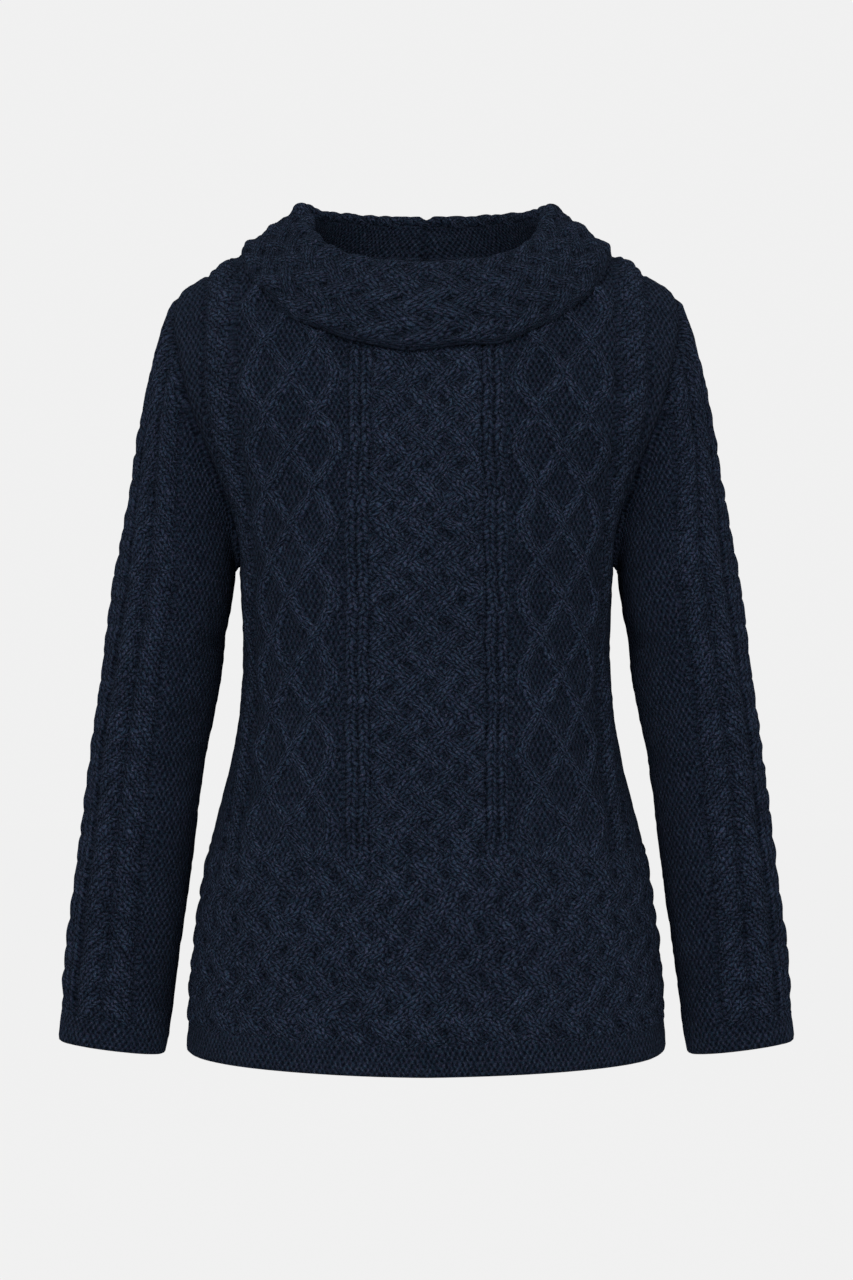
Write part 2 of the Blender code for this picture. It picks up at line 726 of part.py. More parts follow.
@lru_cache(maxsize=None)
def half_round(v):
    """Half the length round the sleeve at v."""
    points = [ring_point(math.pi * k / 24, v) for k in range(25)]
    return sum(math.dist(a, b) for a, b in zip(points, points[1:]))


def half_round_at(v):
    return half_round(round(min(v, SLEEVE_LENGTH), 0))


@lru_cache(maxsize=None)
def armhole_frame(share):
    """At a share of the way round the armhole: the edge, the way on across the seam, and the way out.

    share runs from -1 (armpit) through the back to 0 (shoulder point), and by the front to 1.
    """
    side = "front" if share >= 0 else "back"
    line = armhole_line(side)
    k = abs(share) * ARMHOLE_STEPS
    low = min(int(k), ARMHOLE_STEPS - 1)
    near, far = line[low], line[low + 1]

    def spot(at):
        u, v = (near[i] + (far[i] - near[i]) * at for i in (0, 1))
        return torso_place(side, u, v)

    edge, out = spot(k - low)
    ahead = unit(spot(min(1.0, k - low + 0.2))[0] - spot(max(0.0, k - low - 0.2))[0])
    if abs(share) > 0.999:
        ahead = np.array([0.0, 1.0 if side == "front" else -1.0, 0.0])
    if abs(share) < 0.001:
        ahead = np.array([0.0, -1.0, 0.0])
    across = np.cross(ahead, out)
    if across[0] < 0 and abs(share) < 0.9:
        across = -across
    if abs(share) >= 0.9 and across[2] < 0:
        across = -across
    across = unit(across - out * float(across @ out))
    return edge, across, out


@lru_cache(maxsize=None)
def sleeve_path(share):
    """A line down the sleeve from the armhole: its points and outward ways, with v."""
    edge, across, out = armhole_frame(share)
    turn = math.pi * share
    under = float(ease((abs(share) - 0.55) / 0.45)) * UNDERARM_TURN
    start_out = out * math.cos(under) - across * math.sin(under)
    start_way = out * math.sin(under) + across * math.cos(under)
    start = edge + across * SEAM_GAP
    end = ring_point(turn + TWIST, SLEEVE_LENGTH)
    along = unit(ring_point(turn + TWIST, SLEEVE_LENGTH - 8) - end)
    length = math.dist(start, end)
    bulge = CAP_BULGE * math.sin(math.pi * min(1.0, abs(share))) ** 2
    start_way = unit(start_way + bulge * start_out)
    points = [
        hermite(start, start_way * CAP_START * length, end, along * CAP_END * length, k / 40)
        for k in range(41)
    ]
    runs = np.concatenate([[0], np.cumsum([math.dist(a, b) for a, b in zip(points, points[1:])])])
    return np.array(points), SLEEVE_LENGTH + runs[-1] - runs, start_out


def cap_v(share):
    """v at the armhole edge of the sleeve."""
    return float(sleeve_path(round(share, 5))[1][0])


def sleeve_bare(u, v):
    half = half_round_at(v)
    share = max(-1.0, min(1.0, u / half))
    if v <= SLEEVE_LENGTH:
        return ring_point(math.pi * share + TWIST, v)
    points, vs, _ = sleeve_path(round(share, 5))
    return np.array([np.interp(v, vs[::-1], points[::-1, i]) for i in range(3)])


def sleeve_normal(u, v):
    half = half_round_at(v)
    share = max(-1.0, min(1.0, u / half))
    top = cap_v(share)
    if v > top - 0.05:
        return sleeve_path(round(share, 5))[2]
    step = 1.0
    wrap = 2 * half

    def at(du, dv):
        shifted = u + du
        if shifted > half:
            shifted -= wrap
        if shifted < -half:
            shifted += wrap
        limit = cap_v(max(-1.0, min(1.0, shifted / half)))
        return sleeve_bare(shifted, min(v + dv, limit))

    return unit(np.cross(at(0, step) - at(0, -step), at(step, 0) - at(-step, 0)))


def sleeve_dent(u, v):
    dent = 0.0
    half = half_round_at(v)
    for fold in SLEEVE_FOLDS:
        along = v - fold.v
        middle = (fold.turn / 180.0) * half
        across = (u - middle - fold.lean * along + half) % (2 * half) - half
        dent += fold.depth * trough(along, across, fold.width, fold.length)
    return dent * float(ease(v / 50.0)) * float(ease((cap_v(max(-1.0, min(1.0, u / half))) - v) / 40.0))


def sleeve_place(u, v):
    out = sleeve_normal(u, v)
    return sleeve_bare(u, v) - out * sleeve_dent(u, v), out


def sleeve_outline():
    """The flat outline of the sleeve, and the pairs of points that its underarm seam joins."""
    shares = [k / ARMHOLE_STEPS for k in range(-ARMHOLE_STEPS, ARMHOLE_STEPS + 1)]
    top_v = cap_v(1.0)
    count = round(top_v / UNDERARM_STEP)
    seam_v = [top_v * k / count for k in range(count + 1)]
    low_half = half_round_at(0.0)
    cuff_count = round(2 * low_half / SEAM_STEP)
    cuff = [(-low_half + 2 * low_half * k / cuff_count, 0.0) for k in range(cuff_count)]
    right = [(half_round_at(v), v) for v in seam_v]
    head = [(half_round_at(1e3) * s, cap_v(s)) for s in reversed(shares[1:-1])]
    left = [(-u, v) for u, v in reversed(right)]
    outline = cuff + right + head + left[:-1]
    first_right = len(cuff)
    joined = [(first_right, 0)]
    for k in range(1, len(right)):
        joined.append((first_right + k, len(outline) - k))
    return outline, joined


def build_sleeve(name, way):
    outline, joined = sleeve_outline()
    top = cap_v(0.0)
    half = half_round_at(SLEEVE_LENGTH)

    def place(u, v):
        at, out = sleeve_place(u, v)
        return at * (way, 1, 1), out * (way, 1, 1)

    def is_turning(u, v):
        return v > cap_v(max(-1.0, min(1.0, u / half))) - CAP_TURN

    def step_at(u, v):
        return CAP_STEP if is_turning(u, v) else SLEEVE_STEP

    def inner_step(u, v):
        return CAP_STEP if is_turning(u, v) else SLEEVE_INNER_STEP

    raised, ridges = kept_points(outline, sleeve_pattern(top), EDGE_MARGIN)
    outer = raised + plain_points(outline, raised, step_at)
    inner = plain_points(outline, [], inner_step)
    return wall(
        name, outline, (outer, ridges), (inner, []), place, NAVY_SLEEVE, joined=joined, flip=way > 0
    )


# ---------------------------------------------------------------- collar form
COLLAR_AROUND = COLLAR_PERIODS * PERIOD
COLLAR_UP = FALL + CREST + STAND


def plan_turn(share):
    """share of the way round, from the middle of the back: the angle from the side, and the end."""
    around = (share % 1.0) * 4
    quarter = min(3, int(around))
    part = around - quarter
    front = quarter in (1, 2)
    right = quarter in (0, 1)
    from_side = 1 - part if quarter in (0, 2) else part
    return from_side, front, right


def neck_frame(share):
    """The neckline there: the edge, the way on across the seam, and the way out."""
    from_side, front, right = plan_turn(share)
    side = "front" if front else "back"
    line = neck_line(side)
    k = from_side * NECK_STEPS
    low = min(int(k + 1e-9), NECK_STEPS - 1)
    near, far = line[low], line[low + 1]
    part = k - low
    u, v = (near[i] + (far[i] - near[i]) * part for i in (0, 1))
    edge, out = torso_place(side, u, v)
    before = torso_place(side, *near)[0]
    after = torso_place(side, *far)[0]
    ahead = unit(after - before)
    if from_side < 0.001:
        ahead = np.array([0.0, -1.0 if front else 1.0, 0.0])
    if from_side > 0.999:
        ahead = np.array([1.0, 0.0, 0.0])
    across = np.cross(ahead, out)
    across = unit(across - out * float(across @ out))
    inward = np.array([-edge[0], -edge[1], 60.0])
    if across @ inward < 0:
        across = -across
    flip = np.array([1.0 if right else -1.0, 1.0, 1.0])
    return edge * flip, across * flip, out * flip


def collar_edge(share):
    """The free edge: a point of the torso, moved out."""
    from_side, front, right = plan_turn(share)
    side = "front" if front else "back"
    low_z = COLLAR_EDGE_FRONT_Z if front else COLLAR_EDGE_BACK_Z
    point_z = float(ridge_at(COLLAR_EDGE_X))
    z = point_z + (low_z - point_z) * math.sin(math.pi / 2 * from_side) ** 1.25
    u = COLLAR_EDGE_X / SPREAD * math.cos(math.pi / 2 * from_side) ** (2 / PLAN_POWER)
    v = shoulder_v(side, u) if from_side < 1e-6 else v_of_z(side, u, z)
    edge, out = torso_bare(side, u, v), torso_normal(side, u, v)
    flip = np.array([1.0 if right else -1.0, 1.0, 1.0])
    return (edge + out * COLLAR_LIFT) * flip


def fold_middle(share):
    """The middle of the rolled fold, and the level way outwards there."""

    def spot(at):
        from_side, front, right = plan_turn(at)
        turn = math.pi / 2 * from_side
        x = FOLD_X * math.cos(turn) ** (2 / PLAN_POWER)
        deep, low_z = (FOLD_FRONT_Y, FOLD_FRONT_Z) if front else (FOLD_BACK_Y, FOLD_BACK_Z)
        y = deep * math.sin(turn) ** (2 / PLAN_POWER)
        z = FOLD_SIDE_Z + (low_z - FOLD_SIDE_Z) * math.sin(turn) ** 0.8
        return np.array([x if right else -x, y, z])

    here = spot(share)
    from_side, front, right = plan_turn(share)
    turn = math.pi / 2 * from_side
    out = np.array([
        (1 if right else -1) * math.cos(turn),
        (-1 if front else 1) * math.sin(turn) * FOLD_X / abs(FOLD_FRONT_Y),
        0.0,
    ])
    return here, unit(out)


@lru_cache(maxsize=None)
def collar_path(share):
    """The visible face from the free edge, over the fold and down the stand to the neck seam."""
    edge = collar_edge(share)
    middle, out = fold_middle(share)
    up = np.array([0.0, 0.0, 1.0])
    neck, across, neck_out = neck_frame(share)
    first = math.radians(25.0)
    roll = [
        middle + FOLD_RADIUS * (math.cos(a) * out + math.sin(a) * up)
        for a in np.linspace(first, math.pi, 13)
    ]
    fall = []
    for t in np.linspace(0, 1, 17)[:-1]:
        bulge = COLLAR_BULGE * math.sin(math.pi * t) * unit(out + 0.6 * up)
        fall.append(edge + (roll[0] - edge) * t + bulge)
    start = neck + across * SEAM_GAP - neck_out * WALL
    length = math.dist(start, roll[-1])
    stand = [
        hermite(roll[-1], -up * 0.7 * length, start, -across * 0.7 * length, t)
        for t in np.linspace(0, 1, 21)[1:]
    ]
    vs = []
    stretches = ((fall + roll[:1], 0, FALL), (roll, FALL, CREST), (roll[-1:] + stand, FALL + CREST, STAND))
    for part, low, size in stretches:
        runs = np.concatenate([[0], np.cumsum([math.dist(a, b) for a, b in zip(part, part[1:])])])
        scaled = low + size * runs / runs[-1]
        vs += list(scaled[:-1]) if low < FALL + CREST else list(scaled)
    points = fall + roll + stand
    return np.array(points), np.array(vs), -neck_out


def collar_bare(u, v):
    points, vs, _ = collar_path(round(u / COLLAR_AROUND, 6) % 1.0)
    return np.array([np.interp(v, vs, points[:, i]) for i in range(3)])


def collar_place(u, v):
    at = collar_bare(u, v)
    if v > COLLAR_UP - 0.05:
        return at, collar_path(round(u / COLLAR_AROUND, 6) % 1.0)[2]
    step = 1.0
    across = collar_bare(u + step, v) - collar_bare(u - step, v)
    along = collar_bare(u, min(v + step, COLLAR_UP)) - collar_bare(u, max(v - step, 0.0))
    return at, unit(np.cross(along, across))


def collar_pattern():
    pattern = Pattern()
    add_lattice(pattern, 8.0, FALL - 4.0, 0.2, COLLAR_AROUND - 0.2, COLLAR_ROW)
    return pattern


def build_collar():
    """The band is closed at the middle of the back, where its two ends are grafted."""
    steps = 4 * NECK_STEPS
    low = [(COLLAR_AROUND * k / COLLAR_EDGE_STEPS, 0.0) for k in range(COLLAR_EDGE_STEPS)]
    right = [(COLLAR_AROUND, float(v)) for v in COLLAR_ROWS]
    top = [(COLLAR_AROUND * k / steps, COLLAR_UP) for k in range(steps - 1, 0, -1)]
    left = [(0.0, v) for _, v in reversed(right)]
    outline = low + right + top + left[:-1]
    first_right = len(low)
    joined = [(first_right, 0)]
    joined += [(first_right + k, len(outline) - k) for k in range(1, len(right))]

    def rings(rows, count):
        return [(COLLAR_AROUND * (k + 0.5) / count, float(v), 0.0) for v in rows for k in range(count)]

    raised, ridges = kept_points(outline, collar_pattern(), EDGE_MARGIN)
    outer = raised + rings([v for v in COLLAR_ROWS[1:-1] if v >= FALL], COLLAR_OUTER_STEPS)
    inner = rings([v for v in COLLAR_ROWS[1:-1] if v >= FALL or v in COLLAR_INNER_ROWS], COLLAR_INNER_STEPS)
    return wall(
        "collar", outline, (outer, ridges), (inner, []), collar_place, NAVY_COLLAR, joined=joined,
        flip=True,
    )


def main():
    for piece in list(bpy.data.objects):
        bpy.data.objects.remove(piece, do_unlink=True)
    build_panel("front")
    build_panel("back")
    build_sleeve("sleeve_left", 1)
    build_sleeve("sleeve_right", -1)
    build_collar()


main()
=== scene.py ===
"""Looks of the aran sweater: fine knitted cloth on the solids' forms, a plain studio and the camera.

A point of a piece is named by two lengths along the cloth: u across it from its middle line, and v
up from its lower edge. Tables, lengths and forms are in millimetres, and meshes, lights and the
camera in metres.
"""

import logging
import math
from dataclasses import dataclass, field
from enum import IntEnum
from typing import Callable, NamedTuple, Sequence

import bpy
import numpy as np
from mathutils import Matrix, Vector
from mathutils.geometry import delaunay_2d_cdt


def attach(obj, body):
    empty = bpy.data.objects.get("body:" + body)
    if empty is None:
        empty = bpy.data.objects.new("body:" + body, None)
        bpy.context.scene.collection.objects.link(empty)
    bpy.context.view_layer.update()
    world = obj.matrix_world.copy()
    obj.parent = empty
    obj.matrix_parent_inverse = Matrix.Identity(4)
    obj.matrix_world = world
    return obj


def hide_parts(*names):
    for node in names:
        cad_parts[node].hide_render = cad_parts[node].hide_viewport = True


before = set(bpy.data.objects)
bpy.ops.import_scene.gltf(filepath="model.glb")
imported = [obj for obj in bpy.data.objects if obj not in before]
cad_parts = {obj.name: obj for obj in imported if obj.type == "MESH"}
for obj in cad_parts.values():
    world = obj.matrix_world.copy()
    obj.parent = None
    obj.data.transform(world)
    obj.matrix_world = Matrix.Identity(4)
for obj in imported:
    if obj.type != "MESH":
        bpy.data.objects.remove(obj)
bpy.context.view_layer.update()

LOG = logging.getLogger("aran_sweater")
MM = 0.001
Array = np.ndarray
OUTSIDE = -50.0  # the height of a band where it isn't


# ---------------------------------------------------------------- helpers
def smooth_curve(xs: Sequence[float], ys: Sequence[float]) -> Callable[[Array], Array]:
    """Make a smooth function through (x, y) pairs that never swings past them.

    Args:
        xs: Where the values are known.
        ys: The values.

    Returns:
        A function of an array of x.
    """
    order = np.argsort(xs)
    xs, ys = np.asarray(xs, float)[order], np.asarray(ys, float)[order]
    step = np.diff(xs)
    rise = np.diff(ys) / step
    slope = np.concatenate([rise[:1], np.zeros(len(rise) - 1), rise[-1:]])
    for i in range(1, len(rise)):
        if rise[i - 1] * rise[i] > 0:
            near, far = 2 * step[i] + step[i - 1], step[i] + 2 * step[i - 1]
            slope[i] = (near + far) / (near / rise[i - 1] + far / rise[i])

    def at(x: Array) -> Array:
        """Read the curve.

        Args:
            x: Where.

        Returns:
            The values there.
        """
        x = np.clip(x, xs[0], xs[-1])
        i = np.clip(np.searchsorted(xs, x) - 1, 0, len(rise) - 1)
        t = (x - xs[i]) / step[i]
        start = (1 + 2 * t) * (1 - t) ** 2 * ys[i] + t * (1 - t) ** 2 * step[i] * slope[i]
        return start + t * t * (3 - 2 * t) * ys[i + 1] + t * t * (t - 1) * step[i] * slope[i + 1]

    return at


def ease(t: Array) -> Array:
    """Go from 0 to 1, level at both ends."""
    t = np.clip(t, 0.0, 1.0)
    return t * t * (3 - 2 * t)


def oval(share: Array, power: float) -> Array:
    """Give the other half-axis share of a rounded oval at this share of one half-axis."""
    return np.maximum(0.0, 1.0 - np.minimum(1.0, np.abs(share)) ** power) ** (1.0 / power)


def unit(vectors: Array) -> Array:
    """Scale vectors, along the last axis, to length 1."""
    return vectors / np.maximum(1e-9, np.linalg.norm(vectors, axis=-1, keepdims=True))


def hermite(start: Array, start_way: Array, end: Array, end_way: Array, t: Array) -> Array:
    """Make the curve that leaves start along start_way and reaches end along end_way.

    Args:
        start: First point.
        start_way: Way and speed there.
        end: Last point.
        end_way: Way and speed there.
        t: Shares of the way, as a column.

    Returns:
        The points at t.
    """
    return (
        (2 * t**3 - 3 * t**2 + 1) * start
        + (t**3 - 2 * t**2 + t) * start_way
        + (3 * t**2 - 2 * t**3) * end
        + (t**3 - t**2) * end_way
    )


def run_of(points: Array) -> Array:
    """Give the length along a line of points, from 0 at its first one."""
    return np.concatenate([[0.0], np.cumsum(np.linalg.norm(np.diff(points, axis=0), axis=1))])


def resampled(points: Array, at: Array, wanted: Array) -> Array:
    """Give the points of a line at wanted values of a parameter that is known at each of its points."""
    return np.stack([np.interp(wanted, at, points[:, i]) for i in range(points.shape[1])], axis=1)


def round_bump(x: Array, power: float) -> Array:
    """Give the height of a rounded strip at x, which is -1 and 1 at its edges."""
    return np.maximum(0.0, 1.0 - x * x) ** power


def seam_pairs(first: int, count: int, total: int) -> list[tuple[int, int]]:
    """Pair the points of a tube's outline that meet in its own seam.

    Args:
        first: Number of the point at the foot of the right edge.
        count: How many points that edge has.
        total: How many points the outline has.

    Returns:
        Pairs of numbers of points, right and left.
    """
    return [(first, 0)] + [(first + k, total - k) for k in range(1, count)]


class Fold(NamedTuple):
    """A soft trough: its middle (u, v), size, lean and depth inwards."""

    u: float
    v: float
    length: float
    width: float
    lean: float
    depth: float


def fold_depth(folds: Sequence[Fold], u: Array, v: Array, wrap: Array | None = None) -> Array:
    """Add up how deep the folds are at each point.

    Args:
        folds: The folds.
        u: Across.
        v: Up.
        wrap: Length round the piece at each point, on a tube.

    Returns:
        The depth inwards.
    """
    dent = np.zeros_like(u)
    for fold in folds:
        along = v - fold.v
        across = u - fold.u - fold.lean * along
        if wrap is not None:
            across = (across + wrap / 2) % wrap - wrap / 2
        away = (across / fold.width) ** 2 + (along / (0.5 * fold.length)) ** 2
        dent += fold.depth * np.exp(-1.6 * away)
    return dent


def slack(u: Array, v: Array, seed: float) -> Array:
    """Give a slow, uneven swell of the cloth.

    Args:
        u: Across.
        v: Up.
        seed: Picks one of many such swells.

    Returns:
        The swell, about -1 to 1.
    """
    return (
        0.5 * np.sin(u / 31.0 + 1.7 * seed + 1.3 * np.sin(v / 57.0 + seed))
        + 0.3 * np.sin(v / 41.0 - u / 67.0 + 2.9 * seed)
        + 0.2 * np.sin(u / 17.0 + v / 23.0 + 4.1 * seed)
    )


class Unevenness:
    """A smooth random field, as hand knitting has, about -1 to 1."""

    def __init__(self, seed: int, cell: float) -> None:
        """Draw the field: seed picks it, and cell is the size of its swells."""
        self.values = np.random.default_rng(seed).uniform(-1, 1, (257, 257))
        self.cell = cell

    def at(self, u: Array, v: Array) -> Array:
        """Read the field.

        Args:
            u: Across.
            v: Up.

        Returns:
            Its values, -1 to 1.
        """
        x, y = u / self.cell + 512.0, v / self.cell + 512.0
        i, j = np.floor(x).astype(int), np.floor(y).astype(int)
        a, b = ease(x - i), ease(y - j)
        i, j, after_i, after_j = i % 256, j % 256, (i + 1) % 256, (j + 1) % 256
        near = self.values[i, j] * (1 - b) + self.values[i, after_j] * b
        far = self.values[after_i, j] * (1 - b) + self.values[after_i, after_j] * b
        return near * (1 - a) + far * a


# ---------------------------------------------------------------- forms
class Form:
    """A smooth surface known on a close net of columns and rows, read between its points.

    Attributes:
        at: Net of points, (columns, rows, 3).
        out: Way out of the cloth at each of them.
    """

    at: Array
    out: Array

    def set_net(self, at: Array, out: Array) -> None:
        """Keep the net, and fill ways out that came to nothing from the column before.

        Args:
            at: Net of points.
            out: Way out of the cloth at each, of any length.
        """
        for i in range(1, len(at)):
            gone = np.linalg.norm(out[i], axis=1) < 1e-6
            out[i][gone] = out[i - 1][gone]
        self.at, self.out = at, unit(out)

    def set_tube(self, at: Array) -> None:
        """Keep a net whose last column lies on its first one, and work out its ways out."""
        wrapped = np.concatenate([at[-2:-1], at, at[1:2]])
        self.set_net(at, np.cross(np.gradient(at, axis=1), np.gradient(wrapped, axis=0)[1:-1]))

    def read(self, column: Array, row: Array) -> tuple[Array, Array]:
        """Read the net between its points.

        Args:
            column: Fractions of columns.
            row: Fractions of rows.

        Returns:
            Points, and ways out at them.
        """
        column = np.clip(column, 0, self.at.shape[0] - 1.0001)
        row = np.clip(row, 0, self.at.shape[1] - 1.0001)
        i, j = column.astype(int), row.astype(int)
        a, b = (column - i)[:, None], (row - j)[:, None]
        found = []
        for net in (self.at, self.out):
            near = net[i, j] * (1 - b) + net[i, j + 1] * b
            far = net[i + 1, j] * (1 - b) + net[i + 1, j + 1] * b
            found.append(near * (1 - a) + far * a)
        return found[0], unit(found[1])


class Level(NamedTuple):
    """A level of the torso."""

    z: float
    half_width: float
    front: float
    back: float


class Ridge(NamedTuple):
    """A point of the shoulder line."""

    x: float
    z: float


class Armhole(NamedTuple):
    """A point of the armhole's edge."""

    z: float
    u: float


@dataclass
class TorsoForm(Form):
    """Half of the torso, front or back, from the hem to the shoulder line.

    Attributes:
        edge_round: Power of the rounded oval that each level is.
        spread: At the shoulder a column of stitches lies at spread * u.
        spread_height: Height over which the columns spread above the armpit.
        chest: Depth at the chest, front and back.
        slope: Power of the side profile above the armpit, front and back.
        neck_z: Height of the neckline's middle, front and back.
        neck_power: Power of the rounded oval that the neckline is.
        hem_lift: How much the hem rises towards the sides.
        lift_reach: How far up from the hem that rise is felt.
        swell: How high the slow swells of the upper part are.
        calm_width: Width beside the seams where folds and swells fade out.
        calm_length: The same at the hem and the shoulder.
        armhole_length: Rough length of the armhole's edge, for its number of points.
        neck_length: The same of half the neckline.
        crowding: How much the armhole's points crowd towards the armpit.
    """

    is_front: bool
    hem_z: float = -634.0
    armpit_z: float = -245.0
    edge_round: float = 2.3
    spread: float = 0.955
    spread_height: float = 145.0
    chest: tuple[float, float] = (117.0, 110.0)
    slope: tuple[float, float] = (2.2, 2.8)
    neck_point_x: float = 118.0
    neck_z: tuple[float, float] = (-57.0, 5.0)
    neck_power: float = 2.4
    seam_gap: float = 0.3
    hem_lift: float = 7.5
    lift_reach: float = 150.0
    swell: float = 1.3
    calm_width: float = 30.0
    calm_length: float = 60.0
    armhole_length: float = 240.0
    neck_length: float = 160.0
    crowding: float = 0.10
    columns: int = 262
    low_rows: int = 120
    high_rows: int = 120
    levels: tuple[Level, ...] = (
        Level(-634, 190.0, 128, 122),
        Level(-600, 187.5, 127, 122),
        Level(-546, 183.0, 126, 120),
        Level(-469, 172.0, 122, 115),
        Level(-392, 154.0, 117, 108),
        Level(-354, 148.0, 115, 104),
        Level(-315, 146.0, 114, 103),
        Level(-258, 148.0, 117, 108),
        Level(-245, 149.0, 117, 110),
        Level(-224, 152.0, 117, 110),
        Level(-191, 169.0, 117, 110),
        Level(-150, 190.0, 117, 110),
        Level(-116, 206.0, 117, 110),
        Level(-86, 213.0, 117, 110),
        Level(40, 215.0, 117, 110),
    )
    shoulder: tuple[Ridge, ...] = (
        Ridge(0, 22.0),
        Ridge(60, 18.5),
        Ridge(100, 14.5),
        Ridge(118, 12.0),
        Ridge(130, 9.8),
        Ridge(141, 7.2),
        Ridge(154, 3.0),
        Ridge(162, -2.6),
        Ridge(171, -9.0),
        Ridge(182, -15.4),
        Ridge(193, -21.8),
        Ridge(199, -28.0),
        Ridge(212, -46.0),
        Ridge(230, -80.0),
    )
    armhole: tuple[Armhole, ...] = (
        Armhole(-28, 208.0),
        Armhole(-50, 210.5),
        Armhole(-86, 203.0),
        Armhole(-116, 197.0),
        Armhole(-150, 192.5),
        Armhole(-191, 190.5),
        Armhole(-220, 190.5),
        Armhole(-236, 194.0),
        Armhole(-243.5, 202.0),
        Armhole(-245, 209.0),
    )
    folds: tuple[Fold, ...] = ()

    def __post_init__(self) -> None:
        """Work out the net from the tables."""
        zs = [row.z for row in self.levels]
        self.half_width = smooth_curve(zs, [row.half_width for row in self.levels])
        self.depth = smooth_curve(zs, [self.own((row.front, row.back)) for row in self.levels])
        self.ridge = smooth_curve([row.x for row in self.shoulder], [row.z for row in self.shoulder])
        self.armpit_v = self.armpit_z - self.hem_z
        us = np.arange(self.columns, dtype=float)
        turn = np.linspace(0, math.pi / 2, 241)
        low = np.zeros((self.columns, self.low_rows + 1, 3))
        self.seam = np.zeros(self.low_rows + 1)
        for j, z in enumerate(np.linspace(self.hem_z, self.armpit_z, self.low_rows + 1)):
            x = self.half_width(z) * np.sin(turn) ** (2 / self.edge_round)
            y = self.depth(z) * np.cos(turn) ** (2 / self.edge_round)
            length = np.concatenate([[0], np.cumsum(np.hypot(np.diff(x), np.diff(y)))])
            low[:, j, 0], low[:, j, 1] = np.interp(us, length, x), np.interp(us, length, y)
            low[:, j, 2] = z
            self.seam[j] = length[-1]
        high, self.top_v = self.upper_net(us, low[:, -1])
        at = np.concatenate([low, high], axis=1)
        at[:, :, 1] = (at[:, :, 1] + self.seam_gap / 2) * (-1 if self.is_front else 1)
        out = np.cross(np.gradient(at, axis=0), np.gradient(at, axis=1)) * (1 if self.is_front else -1)
        out[0, :, 0] = 0.0
        self.set_net(at, out)
        us = np.array([row.u for row in self.armhole[:-1]] + [float(self.seam[-1])])
        vs = self.v_at(us, np.array([row.z for row in self.armhole]))
        vs[0] = self.shoulder_v(us[:1])[0]
        runs = np.concatenate([[0], np.cumsum(np.hypot(np.diff(us), np.diff(vs)))])
        self.armhole_curves = smooth_curve(runs, us), smooth_curve(runs, vs), runs[-1]

    def own(self, pair: tuple[float, float]) -> float:
        """Pick this half's value of a pair that is given for the front and the back."""
        return pair[0] if self.is_front else pair[1]

    def upper_net(self, us: Array, armpit: Array) -> tuple[Array, Array]:
        """Work out the columns from the armpit's level to the shoulder line.

        Args:
            us: u of each column.
            armpit: Each column's point at the armpit's level.

        Returns:
            The net above that level, and v at the top of each column.
        """
        slope, chest = self.own(self.slope), self.own(self.chest)
        top = self.ridge(self.spread * us)
        share = np.sin(np.linspace(0, math.pi / 2, self.high_rows + 1))
        z = self.armpit_z + (top - self.armpit_z)[:, None] * share
        spread = ease((z - self.armpit_z) / self.spread_height)
        x = armpit[:, :1] + (self.spread * us[:, None] - armpit[:, :1]) * spread
        across = (armpit[:, 1] / self.depth(self.armpit_z))[:, None]
        across = across + (oval(x / self.half_width(z), self.edge_round) - across) * spread
        y = chest * across * oval((z - self.armpit_z) / (self.ridge(x) - self.armpit_z), slope)
        y[:, -1] = 0.0
        rows = np.stack([x, y, z], axis=2)
        even = np.linspace(0, 1, self.high_rows + 1)
        net, tops = np.zeros_like(rows), np.zeros(len(us))
        for i, column in enumerate(rows):
            run = run_of(column)
            tops[i] = self.armpit_v + run[-1]
            net[i] = resampled(column, run / run[-1], even)
        return net[:, 1:], tops

    def shoulder_v(self, u: Array) -> Array:
        """Give v of the shoulder line."""
        return np.interp(np.abs(u), np.arange(self.columns), self.top_v)

    def seam_u(self, v: Array) -> Array:
        """Give u of the side seam."""
        return np.interp(v, np.linspace(0, self.armpit_v, self.low_rows + 1), self.seam)

    def row_of(self, u: Array, v: Array) -> Array:
        """Find a point on the net.

        Args:
            u: Across.
            v: Up.

        Returns:
            Fractions of rows.
        """
        share = (v - self.armpit_v) / (self.shoulder_v(u) - self.armpit_v)
        low, high = v / self.armpit_v * self.low_rows, self.low_rows + share * self.high_rows
        return np.where(v < self.armpit_v, low, high)

    def bare(self, u: Array, v: Array) -> tuple[Array, Array]:
        """Give the form without its folds.

        Args:
            u: Across.
            v: Up.

        Returns:
            Points, and ways out at them.
        """
        at, out = self.read(np.abs(u), self.row_of(u, v))
        side = np.where(u < 0, -1.0, 1.0)
        at[:, 0] *= side
        out[:, 0] *= side
        out[np.abs(at[:, 1]) < 2 * self.seam_gap, 1] = 0.0
        return at, unit(out)

    def place(self, u: Array, v: Array) -> tuple[Array, Array]:
        """Give the form with its folds.

        Args:
            u: Across.
            v: Up.

        Returns:
            Points, and ways out at them.
        """
        at, out = self.bare(u, v)
        dent = fold_depth(self.folds, u, v)
        fade = ease((self.seam_u(np.minimum(v, self.armpit_v)) - np.abs(u)) / self.calm_width)
        rise = ease((self.shoulder_v(u) - v) / self.calm_length)
        rise = rise * ease((self.armhole_u(v) - np.abs(u)) / self.calm_width)
        swell = self.swell * slack(u, v, self.own((1.0, 2.0))) * fade * rise
        dent = dent * fade * ease(v / self.calm_length) - swell
        at = at - out * dent[:, None]
        at[:, 2] += self.hem_lift * np.abs(u / self.seam[0]) ** 1.3 * (1 - ease(v / self.lift_reach))
        return at, out

    def armhole_u(self, v: Array) -> Array:
        """Give u of the armhole's edge, or a far one below it."""
        us, vs = self.armhole_line(60)
        return np.interp(v, vs[::-1], us[::-1], left=400.0)

